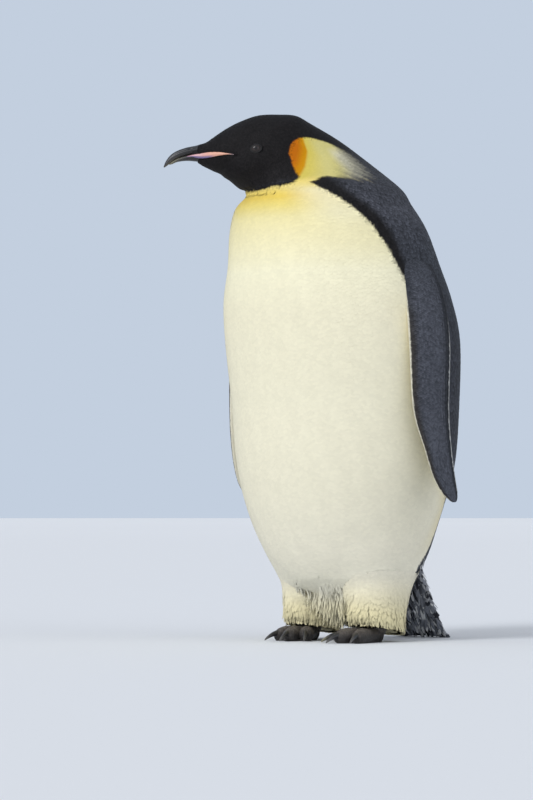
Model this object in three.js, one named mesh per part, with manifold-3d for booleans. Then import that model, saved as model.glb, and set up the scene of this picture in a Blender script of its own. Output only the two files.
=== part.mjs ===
// An adult emperor penguin, life size and still, in millimetres.
// It stands upright with its neck drawn in and its head turned to its right, on two feet and the tail.
// +Z is up, the chest faces -Y and the bird's left side is +X. The origin is on the floor,
// under the centre of the bounding box.
//
// Most parts are lofts: a ring of points, carried along a row of named cross-sections.
// The eyes and ankles are ovals, and the webs between the toes are extruded outlines.
// Where one part grows out of another, the outer one keeps its whole shape
// and the inner one is cut back from it, so that the two meet without overlapping.
import * as THREE from "three";
import { mergeVertices } from "three/addons/utils/BufferGeometryUtils.js";
import Module from "manifold-3d";

const wasm = await Module();
wasm.setup();

// ---- driving dimensions -------------------------------------------------------------------

const GAP = 0.35; // clearance where two parts meet
const AXIS_Y = 17; // the trunk's upright axis stands this far behind the origin
const HEAD_YAW = 48; // degrees that the head is turned to the bird's right
const NECK_PIVOT = [-40, -129.4]; // x, y of the upright line that the head turns about

// Trunk cross-sections, level ovals: height, y of the middle, half-depth (y) and half-width (x).
const TRUNK = [
  { height: 50, middle: 16, depth: 14, width: 14 },
  { height: 56, middle: 15, depth: 40, width: 38 },
  { height: 82, middle: 12, depth: 84, width: 80 },
  { height: 122, middle: 7, depth: 121, width: 122 },
  { height: 169, middle: 2, depth: 149, width: 156 },
  { height: 240, middle: -2, depth: 177, width: 183 },
  { height: 330, middle: 0, depth: 198, width: 207 },
  { height: 445, middle: -1, depth: 204, width: 218 },
  { height: 555, middle: -9, depth: 209, width: 225 },
  { height: 628, middle: -22, depth: 206, width: 217 },
  { height: 694, middle: -33, depth: 194, width: 199 },
];

// Shoulder, neck and head cross-sections. Each oval leans back from the throat to the nape:
// side, ahead and height are its middle; reach and rise its half-length, level and upward;
// width its half-width; yaw how far it is turned to the bird's right.
const NECK = [
  { side: -6, ahead: -42, height: 759, reach: 178, rise: 0, width: 187, yaw: 2 },
  { side: -15, ahead: -44, height: 803, reach: 163, rise: 3, width: 166, yaw: 8 },
  { side: -14, ahead: -48, height: 836, reach: 140, rise: 9, width: 136, yaw: 19 },
  { side: -43, ahead: -97, height: 876, reach: 101, rise: 40, width: 87, yaw: 37 },
  { side: -60, ahead: -141, height: 901.5, reach: 75, rise: 53, width: 63, yaw: 45 },
];

// Head cross-sections, which all lie in the head's own plane: forward is from the neck pivot.
const HEAD = [
  { forward: 42, height: 912, reach: 66, rise: 57, width: 54.5 },
  { forward: 62, height: 916.5, reach: 54, rise: 55, width: 47.5 },
  { forward: 87, height: 918.5, reach: 42, rise: 51.5, width: 42.5 },
  { forward: 108.5, height: 915.5, reach: 30.5, rise: 43.5, width: 35.5 },
  { forward: 125.5, height: 910.5, reach: 21, rise: 35, width: 27.5 },
  { forward: 140, height: 905, reach: 13, rise: 25.5, width: 20 },
  { forward: 150, height: 902, reach: 8.5, rise: 18.5, width: 15.5 },
];
const NECK_CUT = { height: 806, tilt: 0, yaw: 12, at: [-25, -35] };
const HEAD_CUT = { height: 876, tilt: 21.6, yaw: 37, at: [-43, -97] };
const CUT_SIDE = 420; // the sides of the slab that parts them, wider than the body there
const FACE_START = 0.6; // how far along the body the face is looked for

// Upper bill, from the feathers to the hooked tip: the ridge, the cutting edge and the half-width.
const UPPER_BILL = [
  { ridge: [138, 914], edge: [140, 900], width: 11 },
  { ridge: [151, 916], edge: [150.5, 899], width: 12 },
  { ridge: [164.5, 913.5], edge: [163.5, 897.5], width: 11 },
  { ridge: [180, 910.3], edge: [179, 894.5], width: 9.3 },
  { ridge: [197, 904], edge: [195, 889.4], width: 7.2 },
  { ridge: [208.8, 895.6], edge: [206.8, 882.6], width: 5.2 },
  { ridge: [216.7, 884.8], edge: [214.2, 876.8], width: 3.1 },
  { ridge: [220.5, 875.2], edge: [219.7, 873.3], width: 0.9 },
];

// Lower bill: its top edge, its keel and the half-width.
const LOWER_BILL = [
  { ridge: [136.5, 899], edge: [142.5, 885.5], width: 11 },
  { ridge: [150.5, 898.5], edge: [152.5, 885.5], width: 11.6 },
  { ridge: [163.5, 897.5], edge: [164.5, 886.5], width: 10.4 },
  { ridge: [179, 894.8], edge: [179, 886.4], width: 8.4 },
  { ridge: [194.5, 889.4], edge: [195, 884], width: 6 },
  { ridge: [204.3, 883.8], edge: [204.8, 880], width: 3.8 },
  { ridge: [209.8, 880.2], edge: [210.2, 878.8], width: 1.2 },
];

// The coloured plate along each side of the lower bill, from the corner of the mouth forward:
// its top and bottom edge.
const PLATE = [
  { forward: 90, top: 894.2, bottom: 893 },
  { forward: 103, top: 896.6, bottom: 893.6 },
  { forward: 118.5, top: 899.1, bottom: 892.3 },
  { forward: 134.5, top: 899.8, bottom: 889.9 },
  { forward: 150.5, top: 898.5, bottom: 889.2 },
  { forward: 166.3, top: 896.6, bottom: 891.4 },
  { forward: 178, top: 893.7, bottom: 892.5 },
];
const PLATE_INLAY = { depth: 3.4, proud: 0.6 }; // its thickness, and how far it stands out

// The eyeball, of which only a cap shows, standing a little proud of the side of the head.
const EYE = { radius: 10.5, forward: 50, height: 903.5, proud: 2.2 };

// Wing cross-sections from shoulder to tip: leading edge x, y; trailing edge x, y; half-thickness.
const WING = [
  { height: 728, lead: [160, -46], trail: [168, 14], thick: 9 },
  { height: 690, lead: [187, -58], trail: [191, 30], thick: 13 },
  { height: 632, lead: [208, -62], trail: [213, 40], thick: 14 },
  { height: 549, lead: [224, -70], trail: [229, 38], thick: 12.5 },
  { height: 426, lead: [230, -67], trail: [234, 29], thick: 9.5 },
  { height: 353, lead: [241, -49], trail: [243, 25], thick: 7 },
  { height: 302, lead: [246, -30], trail: [248, 29], thick: 5.4 },
  { height: 274, lead: [248, -8], trail: [249.5, 34], thick: 4.2 },
  { height: 260, lead: [249, 12], trail: [249.6, 32], thick: 3 },
  { height: 256.5, lead: [249.6, 20], trail: [249.8, 27], thick: 1.2 },
];
const WING_AHEAD = { left: 13, right: 0 }; // the left wing hangs a little further forward
const WING_BLUNT = 0.35; // how much thicker the leading edge is than the middle

// Feathered leg, an oval column whose sections lean down towards the heel:
// height, how far back the middle is, half-width (x), half-depth (y) and how far the front is up.
const LEG = [
  { height: 206, back: 4, width: 32, depth: 40, lean: 0 },
  { height: 190, back: 6, width: 45, depth: 60, lean: 0 },
  { height: 114, back: 8, width: 49, depth: 66, lean: 2 },
  { height: 66, back: 9, width: 46, depth: 62, lean: 7 },
  { height: 36, back: 11, width: 42, depth: 57, lean: 12 },
  { height: 23, back: 15, width: 31, depth: 43, lean: 12 },
];

// Each foot: where its leg stands, the way it points (degrees turned to the bird's left).
const FEET = {
  left: { at: [84, -20], turn: -6, outward: 1 },
  right: { at: [-76, -16], turn: 14, outward: -1 },
};
const TOES = [
  { name: "inner", spread: -22, length: 76 },
  { name: "middle", spread: 0, length: 92 },
  { name: "outer", spread: 23, length: 80 },
];
const TOE_RADII = [18, 17, 15, 15.2, 11.5]; // from the heel to the claw
const TOE_START = 9; // a toe starts this far behind the leg's middle
const TOE_AXIS = 0.78; // its axis stands this many radii above the floor, on a flat sole
const ANKLE = { behind: 4, width: 21, length: 25, bottom: 4, top: 56 };
const WEB = { reach: 0.92, hollow: 0.14, thickness: 9, steps: 4 };
// A claw: sunk is how much of it lies in the toe, and narrowing and slimming how much of its width
// and of its height it has lost at the tip.
const CLAW = {
  length: 27,
  height: 6.2,
  width: 5,
  start: 14.5,
  drop: 12.5,
  sunk: 8,
  hook: 3,
  narrowing: 0.985,
  slimming: 0.3,
};

// Tail, a blunt wedge of stiff feathers that comes down to the floor behind the feet.
const TAIL = [
  { y: 118, height: 196, width: 34, thick: 14 },
  { y: 142, height: 165, width: 50, thick: 19 },
  { y: 167, height: 112, width: 57, thick: 15 },
  { y: 201, height: 50, width: 60, thick: 10.5 },
  { y: 232, height: 6, width: 59, thick: 7 },
  { y: 239, height: -6, width: 58, thick: 6 },
];
const TAIL_BOW = 0.12; // how far its sides lie ahead of its middle, of its half-width
const TAIL_BACK = [0, 0.9, 0.45]; // the way its back faces, along which its thickness is measured

const UNDERGROUND = { side: 800, depth: 60 }; // the block that flattens what reaches below the floor

// How finely each part is faceted: rings along it, and sides round it.
const FACETS = {
  body: [44, 26],
  bill: [8, 8],
  plate: [8, 6],
  eye: [8, 12],
  wing: [18, 10],
  leg: [7, 14],
  toe: [5, 8],
  ankle: [6, 8],
  claw: [6, 6],
  tail: [8, 14],
};
const FACE_STEPS = 160; // how finely the side of the face is felt, along and round it
const FACE_NEAR = 3; // how near a felt point has to be

const COLOURS = {
  black: [0x1c1b1c, 0.75],
  slate: [0x41444d, 0.7],
  cream: [0xe9e4cd, 0.85],
  horn: [0x2c2b2e, 0.35],
  plate: [0xd59b86, 0.4],
  eye: [0x3d312c, 0.12],
  foot: [0x3b3734, 0.6],
};

// ---- shapes -------------------------------------------------------------------------------

const radians = THREE.MathUtils.degToRad;

/** Uniform Catmull-Rom curve through the numbers, at place 0 to numbers.length - 1. */
function through(numbers, place) {
  const last = numbers.length - 1;
  const i = Math.min(Math.floor(place), last - 1);
  const t = place - i;
  const b = numbers[i];
  const c = numbers[i + 1];
  const a = i > 0 ? numbers[i - 1] : 2 * b - c;
  const d = i + 2 <= last ? numbers[i + 2] : 2 * c - b;
  const slope = c - a;
  const bend = 2 * a - 5 * b + 4 * c - d;
  const twist = 3 * (b - c) + d - a;
  return 0.5 * (2 * b + slope * t + bend * t * t + twist * t * t * t);
}

/** One field of a table of sections, as a curve of t from 0 to 1. */
const curveOf = (table, pick) => (t) => through(table.map(pick), t * (table.length - 1));

/** A closed geometry whose ring k holds the points pointAt(k / rings, angle), with a fan on each end. */
function loft(pointAt, [rings, sides]) {
  const places = [];
  for (let k = 0; k <= rings; k += 1) {
    for (let j = 0; j < sides; j += 1) {
      places.push(pointAt(k / rings, (2 * Math.PI * j) / sides));
    }
  }
  const faces = [];
  for (let k = 0; k < rings; k += 1) {
    for (let j = 0; j < sides; j += 1) {
      const next = (j + 1) % sides;
      const [a, b, c, d] = [k * sides + j, k * sides + next, (k + 1) * sides + j, (k + 1) * sides + next];
      faces.push([a, b, d], [a, d, c]);
    }
  }
  for (const [ring, forwards] of [[0, false], [rings, true]]) {
    const first = ring * sides;
    const hub = places.slice(first, first + sides).reduce((sum, p) => sum.add(p), new THREE.Vector3());
    places.push(hub.divideScalar(sides));
    for (let j = 0; j < sides; j += 1) {
      const pair = [first + j, first + ((j + 1) % sides)];
      faces.push([...(forwards ? pair : pair.reverse()), places.length - 1]);
    }
  }
  const geometry = new THREE.BufferGeometry().setFromPoints(places);
  const boxProduct = ([a, b, c]) => places[a].dot(places[b].clone().cross(places[c]));
  const volume = faces.reduce((sum, face) => sum + boxProduct(face), 0);
  geometry.setIndex(faces.flatMap((face) => (volume > 0 ? face : [...face].reverse())));
  return geometry;
}

/** The geometry as a solid that can be joined and cut. */
function solidOf(geometry) {
  const bare = geometry.clone();
  bare.deleteAttribute("normal");
  bare.deleteAttribute("uv");
  const merged = mergeVertices(bare, 1e-4);
  return new wasm.Manifold(
    new wasm.Mesh({
      numProp: 3,
      vertProperties: merged.attributes.position.array,
      triVerts: new Uint32Array(merged.index.array),
    }),
  );
}

const loftSolid = (facets, pointAt) => solidOf(loft(pointAt, facets));

/** An oval ball of three half-axes round a point, faceted about its upright axis. */
function ovalSolid([rings, sides], halves, middle) {
  const ball = new THREE.SphereGeometry(1, sides, rings);
  ball.rotateX(Math.PI / 2);
  ball.scale(...halves);
  ball.translate(...middle);
  return solidOf(ball);
}

/** All that lies below the floor, under the whole bird. */
function underTheFloor() {
  const { side, depth } = UNDERGROUND;
  const block = new THREE.BoxGeometry(side, side, depth);
  block.translate(0, 0, -depth / 2);
  return solidOf(block);
}

/** The pieces that a cut leaves, from the lowest to the highest. */
const fromTheFloorUp = (solid) =>
  solid.decompose().sort((a, b) => a.boundingBox().min[2] - b.boundingBox().min[2]);

/** The solid with each cutter taken away, without the crumbs that the cuts leave. */
const cutBy = (solid, cutters) =>
  cutters
    .reduce((rest, cutter) => rest.subtract(cutter), solid)
    .decompose()
    .sort((a, b) => b.volume() - a.volume())[0];

/** How far the end sections at t = 0 and t = 1 move apart in a solid that is grown. */
const lengthening = (t, grow) => (2 * t - 1) * grow;

// ---- body: trunk, neck and head -----------------------------------------------------------

/** The level directions of a body turned to its right by yaw degrees. */
function facing(yaw) {
  const turn = radians(yaw);
  return {
    ahead: new THREE.Vector3(-Math.sin(turn), -Math.cos(turn), 0),
    left: new THREE.Vector3(Math.cos(turn), -Math.sin(turn), 0),
  };
}

/** A place in the head's own plane: forward of the neck pivot, at a height, and out to the left. */
function inHead(forward, height, left = 0) {
  const turned = facing(HEAD_YAW);
  return new THREE.Vector3(...NECK_PIVOT, height)
    .addScaledVector(turned.ahead, forward)
    .addScaledVector(turned.left, left);
}

const BODY = [
  ...TRUNK.map((s) => ({ ...s, side: 0, ahead: s.middle, reach: s.depth, rise: 0, yaw: 0 })),
  ...NECK,
  ...HEAD.map((s) => {
    const middle = inHead(s.forward, s.height);
    return { ...s, side: middle.x, ahead: middle.y, yaw: HEAD_YAW };
  }),
];

/** The body's outside, from the vent (t = 0) to the bill (t = 1), with angle 0 at the nape. */
function bodyPoint(t, angle) {
  const at = (field) => curveOf(BODY, (s) => s[field])(t);
  const turned = facing(at("yaw"));
  return new THREE.Vector3(at("side"), at("ahead"), at("height") + at("rise") * Math.cos(angle))
    .addScaledVector(turned.ahead, -at("reach") * Math.cos(angle))
    .addScaledVector(turned.left, at("width") * Math.sin(angle));
}

/** A thin slab across the body, to part it: tilt degrees up towards the nape. */
function slab({ height, tilt, yaw, at }) {
  const plate = new THREE.BoxGeometry(CUT_SIDE, CUT_SIDE, GAP);
  plate.rotateX(radians(tilt));
  plate.rotateZ(radians(-yaw));
  plate.translate(...at, height);
  return solidOf(plate);
}

const wholeBody = loftSolid(FACETS.body, bodyPoint);
const [trunkWhole, neckWhole, headWhole] = fromTheFloorUp(
  wholeBody.subtract(slab(NECK_CUT)).subtract(slab(HEAD_CUT)),
);

// ---- bill, plates and eyes ----------------------------------------------------------------

/** The outside of half a bill: at each section an oval between its ridge and its edge. */
function billPoint(table, t, angle, grow = 0) {
  const at = (pick) => curveOf(table, pick)(t);
  const top = new THREE.Vector2(at((s) => s.ridge[0]), at((s) => s.ridge[1]));
  const low = new THREE.Vector2(at((s) => s.edge[0]), at((s) => s.edge[1]));
  const middle = top.clone().add(low).multiplyScalar(0.5);
  const rise = top.sub(middle);
  const place = middle.addScaledVector(rise, Math.cos(angle) * (1 + grow / rise.length()));
  const out = Math.sin(angle) * (at((s) => s.width) + grow);
  return inHead(place.x + lengthening(t, grow), place.y, out);
}

const billSolid = (table, grow = 0) =>
  loftSolid(FACETS.bill, (t, angle) => billPoint(table, t, angle, grow));

/** Points all over the left side of a surface, as forward, height and out to the left. */
function leftSideOf(pointAt, from) {
  const { ahead, left } = facing(HEAD_YAW);
  const pivot = new THREE.Vector3(...NECK_PIVOT, 0);
  const places = [];
  for (let i = 0; i <= FACE_STEPS; i += 1) {
    for (let j = 0; j <= FACE_STEPS; j += 1) {
      const t = from + ((1 - from) * i) / FACE_STEPS;
      const place = pointAt(t, (Math.PI * j) / FACE_STEPS).sub(pivot);
      places.push([place.dot(ahead), place.z, place.dot(left)]);
    }
  }
  return places;
}

const faceSide = leftSideOf(bodyPoint, FACE_START);
const billSide = leftSideOf((t, angle) => billPoint(LOWER_BILL, t, angle), 0);

/** How far out a surface stands at a place in the head's plane, or 0 where it doesn't reach. */
function outAt(places, forward, height) {
  let nearest = [FACE_NEAR, 0];
  for (const [f, h, out] of places) {
    const distance = Math.hypot(f - forward, h - height);
    if (distance < nearest[0]) nearest = [distance, out];
  }
  return nearest[1];
}

const plateFace = PLATE.map(({ forward, top, bottom }) => {
  const height = (top + bottom) / 2;
  return Math.max(outAt(faceSide, forward, height), outAt(billSide, forward, height)) + PLATE_INLAY.proud;
});

/** A plate inlaid in the side of the face: a lens-shaped strip whose outer face bulges a little. */
function plateSolid(side, grow = 0) {
  const at = (field, t) => curveOf(PLATE, (s) => s[field])(t);
  return loftSolid(FACETS.plate, (t, angle) => {
    const half = (at("top", t) - at("bottom", t)) / 2 + grow;
    const height = (at("top", t) + at("bottom", t)) / 2 + Math.sin(angle) * half;
    const middle = through(plateFace, t * (plateFace.length - 1)) - PLATE_INLAY.depth / 2;
    const out = middle + Math.cos(angle) * (PLATE_INLAY.depth / 2 + grow);
    return inHead(at("forward", t) + lengthening(t, grow), height, side * out);
  });
}

const eyeOut = outAt(faceSide, EYE.forward, EYE.height) + EYE.proud - EYE.radius;

/** An eyeball, sunk in the side of the head. */
function eyeSolid(side, grow = 0) {
  const radius = EYE.radius + grow;
  return ovalSolid(FACETS.eye, [radius, radius, radius], inHead(EYE.forward, EYE.height, side * eyeOut));
}

// ---- wings --------------------------------------------------------------------------------

/** A wing's outside, from the shoulder (t = 0) to the tip, with angle 0 at the leading edge. */
function wingPoint(t, angle, side, grow = 0) {
  const at = (pick) => curveOf(WING, pick)(t);
  const lead = new THREE.Vector3(at((s) => s.lead[0]), at((s) => s.lead[1]), at((s) => s.height));
  const trail = new THREE.Vector3(at((s) => s.trail[0]), at((s) => s.trail[1]), lead.z);
  const chord = lead.clone().sub(trail).multiplyScalar(0.5);
  const outward = new THREE.Vector3(-chord.y, chord.x, 0).normalize();
  const thick = at((s) => s.thick) * (1 + WING_BLUNT * Math.cos(angle));
  const place = lead
    .add(trail)
    .multiplyScalar(0.5)
    .addScaledVector(chord, Math.cos(angle) * (1 + grow / chord.length()))
    .addScaledVector(outward, Math.sin(angle) * (thick + grow));
  place.y -= side > 0 ? WING_AHEAD.left : WING_AHEAD.right;
  place.z -= lengthening(t, grow);
  place.x *= side;
  return place;
}

const wingSolid = (side, grow = 0) =>
  loftSolid(FACETS.wing, (t, angle) => wingPoint(t, angle, side, grow));

// ---- legs, feet and claws -----------------------------------------------------------------

function legSolid({ at }, grow = 0) {
  const size = (field, t) => curveOf(LEG, (s) => s[field])(t);
  return loftSolid(
    FACETS.leg,
    (t, angle) =>
      new THREE.Vector3(
        at[0] + Math.cos(angle) * (size("width", t) + grow),
        at[1] + size("back", t) + Math.sin(angle) * (size("depth", t) + grow),
        size("height", t) - size("lean", t) * Math.sin(angle) - lengthening(t, grow),
      ),
  );
}

/** The level directions of a toe: along it and to its left. */
function toeFrame(foot, toe) {
  return facing(-(foot.turn + foot.outward * toe.spread));
}

/** A place on a toe: along it from the leg's middle, out to its left, and its height. */
function onToe(foot, toe, along, left, height) {
  const frame = toeFrame(foot, toe);
  return new THREE.Vector3(...foot.at, height)
    .addScaledVector(frame.ahead, along)
    .addScaledVector(frame.left, left);
}

/** A toe: round sections from the heel out to the claw, pressed flat on the floor. */
function toeSolid(foot, toe, grow = 0) {
  return loftSolid(FACETS.toe, (t, angle) => {
    const radius = through(TOE_RADII, t * (TOE_RADII.length - 1));
    const along = t * toe.length - (1 - t) * TOE_START + lengthening(t, grow);
    const out = radius + grow;
    return onToe(foot, toe, along, Math.cos(angle) * out, TOE_AXIS * radius + Math.sin(angle) * out);
  });
}

/** The web between two toes: a low wedge from the heel to short of their tips. */
function webSolid(foot, toeA, toeB, grow = 0) {
  const [heel, tipA, tipB] = [
    onToe(foot, toeA, 0, 0, 0),
    onToe(foot, toeA, toeA.length * WEB.reach, 0, 0),
    onToe(foot, toeB, toeB.length * WEB.reach, 0, 0),
  ];
  const hollow = tipA.clone().add(tipB).multiplyScalar(0.5).lerp(heel, WEB.hollow);
  const outline = new THREE.Shape();
  outline.moveTo(heel.x, heel.y);
  outline.lineTo(tipA.x, tipA.y);
  outline.quadraticCurveTo(hollow.x, hollow.y, tipB.x, tipB.y);
  const web = new THREE.ExtrudeGeometry(outline, {
    depth: WEB.thickness + grow,
    bevelEnabled: false,
    curveSegments: WEB.steps,
  });
  return solidOf(web);
}

function ankleSolid(foot, grow = 0) {
  const half = (ANKLE.top - ANKLE.bottom) / 2;
  const middle = new THREE.Vector3(...foot.at, ANKLE.bottom + half);
  middle.addScaledVector(facing(-foot.turn).ahead, -ANKLE.behind);
  return ovalSolid(FACETS.ankle, [ANKLE.width + grow, ANKLE.length + grow, half + grow], middle);
}

function footSolid(foot, grow = 0) {
  const [inner, middle, outer] = TOES;
  return [
    ...TOES.map((toe) => toeSolid(foot, toe, grow)),
    webSolid(foot, inner, middle, grow),
    webSolid(foot, middle, outer, grow),
    ankleSolid(foot, grow),
  ]
    .reduce((sum, piece) => sum.add(piece))
    .subtract(underTheFloor());
}

/** A claw: a tapering oval that leaves the toe level and curves down to just above the floor. */
function clawSolid(foot, toe, grow = 0) {
  return loftSolid(FACETS.claw, (t, angle) => {
    const taper = Math.sqrt(1 - t * CLAW.narrowing);
    const along = toe.length - CLAW.sunk + t * (CLAW.length + CLAW.sunk) + lengthening(t, grow);
    const hooked = CLAW.hook * t * taper * Math.sin(angle);
    const left = Math.cos(angle) * (CLAW.width * taper + grow);
    const up = Math.sin(angle) * (CLAW.height * taper * (1 - CLAW.slimming * t) + grow);
    return onToe(foot, toe, along + hooked, left, CLAW.start - CLAW.drop * t * t + up);
  });
}

// ---- tail ---------------------------------------------------------------------------------

function tailSolid(grow = 0) {
  const at = (field, t) => curveOf(TAIL, (s) => s[field])(t);
  const outward = new THREE.Vector3(...TAIL_BACK);
  return loftSolid(FACETS.tail, (t, angle) => {
    const bow = TAIL_BOW * at("width", t) * Math.cos(angle) ** 2;
    return new THREE.Vector3(
      Math.cos(angle) * (at("width", t) + grow),
      at("y", t) - bow,
      at("height", t) - lengthening(t, grow),
    ).addScaledVector(outward, Math.sin(angle) * (at("thick", t) + grow));
  }).subtract(underTheFloor());
}

// ---- assembly -----------------------------------------------------------------------------

const figure = new THREE.Group();
figure.position.set(0, AXIS_Y, 0);

/** Adds a solid to the figure as a named mesh. */
function addPart(name, solid, colour) {
  const { numProp, numVert, vertProperties, triVerts } = solid.getMesh();
  const places = new Float32Array(numVert * 3);
  for (let i = 0; i < numVert; i += 1) {
    places.set(vertProperties.subarray(i * numProp, i * numProp + 3), i * 3);
  }
  const geometry = new THREE.BufferGeometry();
  geometry.setAttribute("position", new THREE.BufferAttribute(places, 3));
  geometry.setIndex(new THREE.BufferAttribute(triVerts, 1));
  geometry.computeVertexNormals();
  const [hex, roughness] = COLOURS[colour];
  const material = new THREE.MeshStandardMaterial({ color: hex, roughness, metalness: 0 });
  const mesh = new THREE.Mesh(geometry, material);
  mesh.name = name;
  figure.add(mesh);
}

const SIDES = { left: 1, right: -1 };
const onBothSides = (make) => Object.entries(SIDES).map(([name, side]) => make(name, side));

const wingHollows = onBothSides((_, side) => wingSolid(side, GAP));
const legHollows = onBothSides((name) => legSolid(FEET[name], GAP));
const plateHollows = onBothSides((_, side) => plateSolid(side, GAP));
const eyeHollows = onBothSides((_, side) => eyeSolid(side, GAP));
const [upperBillHollow, lowerBillHollow] = [billSolid(UPPER_BILL, GAP), billSolid(LOWER_BILL, GAP)];

addPart("trunk", cutBy(trunkWhole, [...wingHollows, ...legHollows, tailSolid(GAP)]), "cream");
addPart("neck", neckWhole, "slate");
addPart(
  "head",
  cutBy(headWhole, [upperBillHollow, lowerBillHollow, ...plateHollows, ...eyeHollows]),
  "black",
);
addPart("bill_upper", cutBy(billSolid(UPPER_BILL), plateHollows), "horn");
addPart("bill_lower", cutBy(billSolid(LOWER_BILL), [upperBillHollow, ...plateHollows]), "horn");
addPart("tail", cutBy(tailSolid(), legHollows), "slate");

for (const [name, side] of Object.entries(SIDES)) {
  const foot = FEET[name];
  const clawHollows = TOES.map((toe) => clawSolid(foot, toe, GAP));
  addPart(`bill_plate_${name}`, plateSolid(side), "plate");
  addPart(`eye_${name}`, eyeSolid(side), "eye");
  addPart(`wing_${name}`, wingSolid(side), "slate");
  addPart(`leg_${name}`, cutBy(legSolid(foot), [footSolid(foot, GAP)]), "cream");
  addPart(`foot_${name}`, cutBy(footSolid(foot), clawHollows), "foot");
  for (const toe of TOES) {
    addPart(`claw_${name}_${toe.name}`, clawSolid(foot, toe), "horn");
  }
}

const part = new THREE.Group();
part.add(figure);

export default part;
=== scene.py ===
"""An adult emperor penguin as a life-size museum model, standing with its neck drawn in.

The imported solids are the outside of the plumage. Inside them lies one skin, as deep as the coat is there,
and on it grow the feathers, each one a thin closed vane of its own. Bill, plates, eyes and claws
are horn and glass, and separate. The shapes are worked out in millimetres in the row's frame,
and become metres where a mesh is made.
"""
import logging
from collections.abc import Callable, Sequence
from dataclasses import dataclass, field, fields, replace
from enum import Enum

import bpy
import numpy as np
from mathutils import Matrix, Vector


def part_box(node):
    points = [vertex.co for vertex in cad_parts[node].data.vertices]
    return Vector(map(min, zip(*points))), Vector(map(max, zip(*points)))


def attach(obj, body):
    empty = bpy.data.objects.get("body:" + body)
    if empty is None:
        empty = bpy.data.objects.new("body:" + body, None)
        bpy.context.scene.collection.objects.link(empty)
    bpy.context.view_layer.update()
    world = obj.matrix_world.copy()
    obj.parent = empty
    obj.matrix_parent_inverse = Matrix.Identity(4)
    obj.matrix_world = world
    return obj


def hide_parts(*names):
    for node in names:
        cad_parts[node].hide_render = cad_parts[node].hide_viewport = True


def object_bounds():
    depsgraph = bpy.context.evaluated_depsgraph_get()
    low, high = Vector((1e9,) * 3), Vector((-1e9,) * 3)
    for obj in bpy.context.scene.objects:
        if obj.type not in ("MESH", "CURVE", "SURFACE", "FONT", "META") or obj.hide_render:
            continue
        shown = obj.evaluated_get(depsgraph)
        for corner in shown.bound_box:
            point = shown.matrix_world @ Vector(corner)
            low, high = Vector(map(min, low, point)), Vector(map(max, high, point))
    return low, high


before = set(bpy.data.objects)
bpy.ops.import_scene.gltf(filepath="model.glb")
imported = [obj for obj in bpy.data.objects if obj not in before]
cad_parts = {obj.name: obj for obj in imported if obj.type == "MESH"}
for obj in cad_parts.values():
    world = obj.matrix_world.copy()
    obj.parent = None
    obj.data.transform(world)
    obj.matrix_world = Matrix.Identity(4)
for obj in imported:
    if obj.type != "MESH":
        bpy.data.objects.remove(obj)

CAD_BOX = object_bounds()
BODY = "root"
NOMINAL_HEIGHT = 971.6  # the height in millimetres that the tables below were drawn at
MM = (CAD_BOX[1].z - CAD_BOX[0].z) / NOMINAL_HEIGHT  # one millimetre of the tables, in the frame
AXIS_Y = 17.0  # the trunk's upright axis stands this far behind the origin
TURN = 2 * np.pi
LAST_PLACE = 24  # number of the body's last section, counted from 0 at the vent
GOLDEN = (np.sqrt(5) - 1) / 2  # part of a turn from one feather root to the next
BAKE_PATCH = 0.003  # side of one feather's patch in the OFBake map

log = logging.getLogger("penguin")
Array = np.ndarray
Piece = bpy.types.Object
Socket = bpy.types.NodeSocket
UP = np.array([0.0, 0.0, 1.0])


class Side(Enum):
    """The two sides of the bird; the value is the sign of x."""

    LEFT = 1
    RIGHT = -1

    @property
    def word(self) -> str:
        """The side's name as the nodes have it."""
        return self.name.lower()


# ---- numbers and curves


def linear(code: str) -> Array:
    """An sRGB hex colour as linear red, green and blue."""
    srgb = np.array([int(code[i:i + 2], 16) for i in (1, 3, 5)]) / 255
    return np.where(srgb <= 0.04045, srgb / 12.92, ((srgb + 0.055) / 1.055) ** 2.4)


def through(table: Array, place: Array) -> Array:
    """A uniform Catmull-Rom curve through the rows of a table.

    Between rows b and c, with a before and d after them, the value is half of
    2b + (c - a) t + (2a - 5b + 4c - d) t^2 + (3 (b - c) + d - a) t^3.

    Args:
        table: one row of numbers for each section.
        place: places along the table, from 0 to its last row.

    Returns:
        The rows at those places, with the fields along the last axis.
    """
    last = len(table) - 1
    rows = np.vstack([2 * table[0] - table[1], table, 2 * table[-1] - table[-2]])
    i = np.clip(np.floor(place).astype(int), 0, last - 1)
    t = (place - i)[..., None]
    a, b, c, d = (rows[i + k] for k in range(4))
    return 0.5 * (2 * b + (c - a) * t + (2 * a - 5 * b + 4 * c - d) * t**2 + (3 * (b - c) + d - a) * t**3)


def ease(low: float | Array, high: float | Array, value: Array) -> Array:
    """A smooth step from 0 at low to 1 at high; with high under low it falls instead."""
    t = np.clip((value - low) / (high - low), 0, 1)
    return t * t * (3 - 2 * t)


def read(table: Sequence[tuple[float, float]], place: Array) -> Array:
    """What a table of places and numbers says at other places, straight between its rows."""
    return np.interp(place, *zip(*table))


def mix(a: Array, b: Array, share: Array) -> Array:
    """Rows that are a where the share is 0 and b where it is 1."""
    return a + (b - a) * share[..., None]


def layered(base: Array, *layers: tuple[str, Array]) -> Array:
    """Linear colours with others laid over them in turn, each a hex colour and its share."""
    for code, share in layers:
        base = mix(base, linear(code), share)
    return base


def unit(vectors: Array) -> Array:
    """The vectors at length 1."""
    return vectors / (np.linalg.norm(vectors, axis=-1, keepdims=True) + 1e-12)


def ripple(points: Array, size: float, seed: int) -> Array:
    """Soft clouds of a size in millimetres, between about -1 and 1: the mean of slanting sines."""
    draw = np.random.default_rng(seed)
    waves = unit(draw.normal(size=(7, 3))) * TURN / size * draw.uniform(0.6, 1.5, (7, 1))
    return np.sin(points @ waves.T + draw.uniform(0, TURN, 7)).mean(-1) * 1.6


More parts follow.
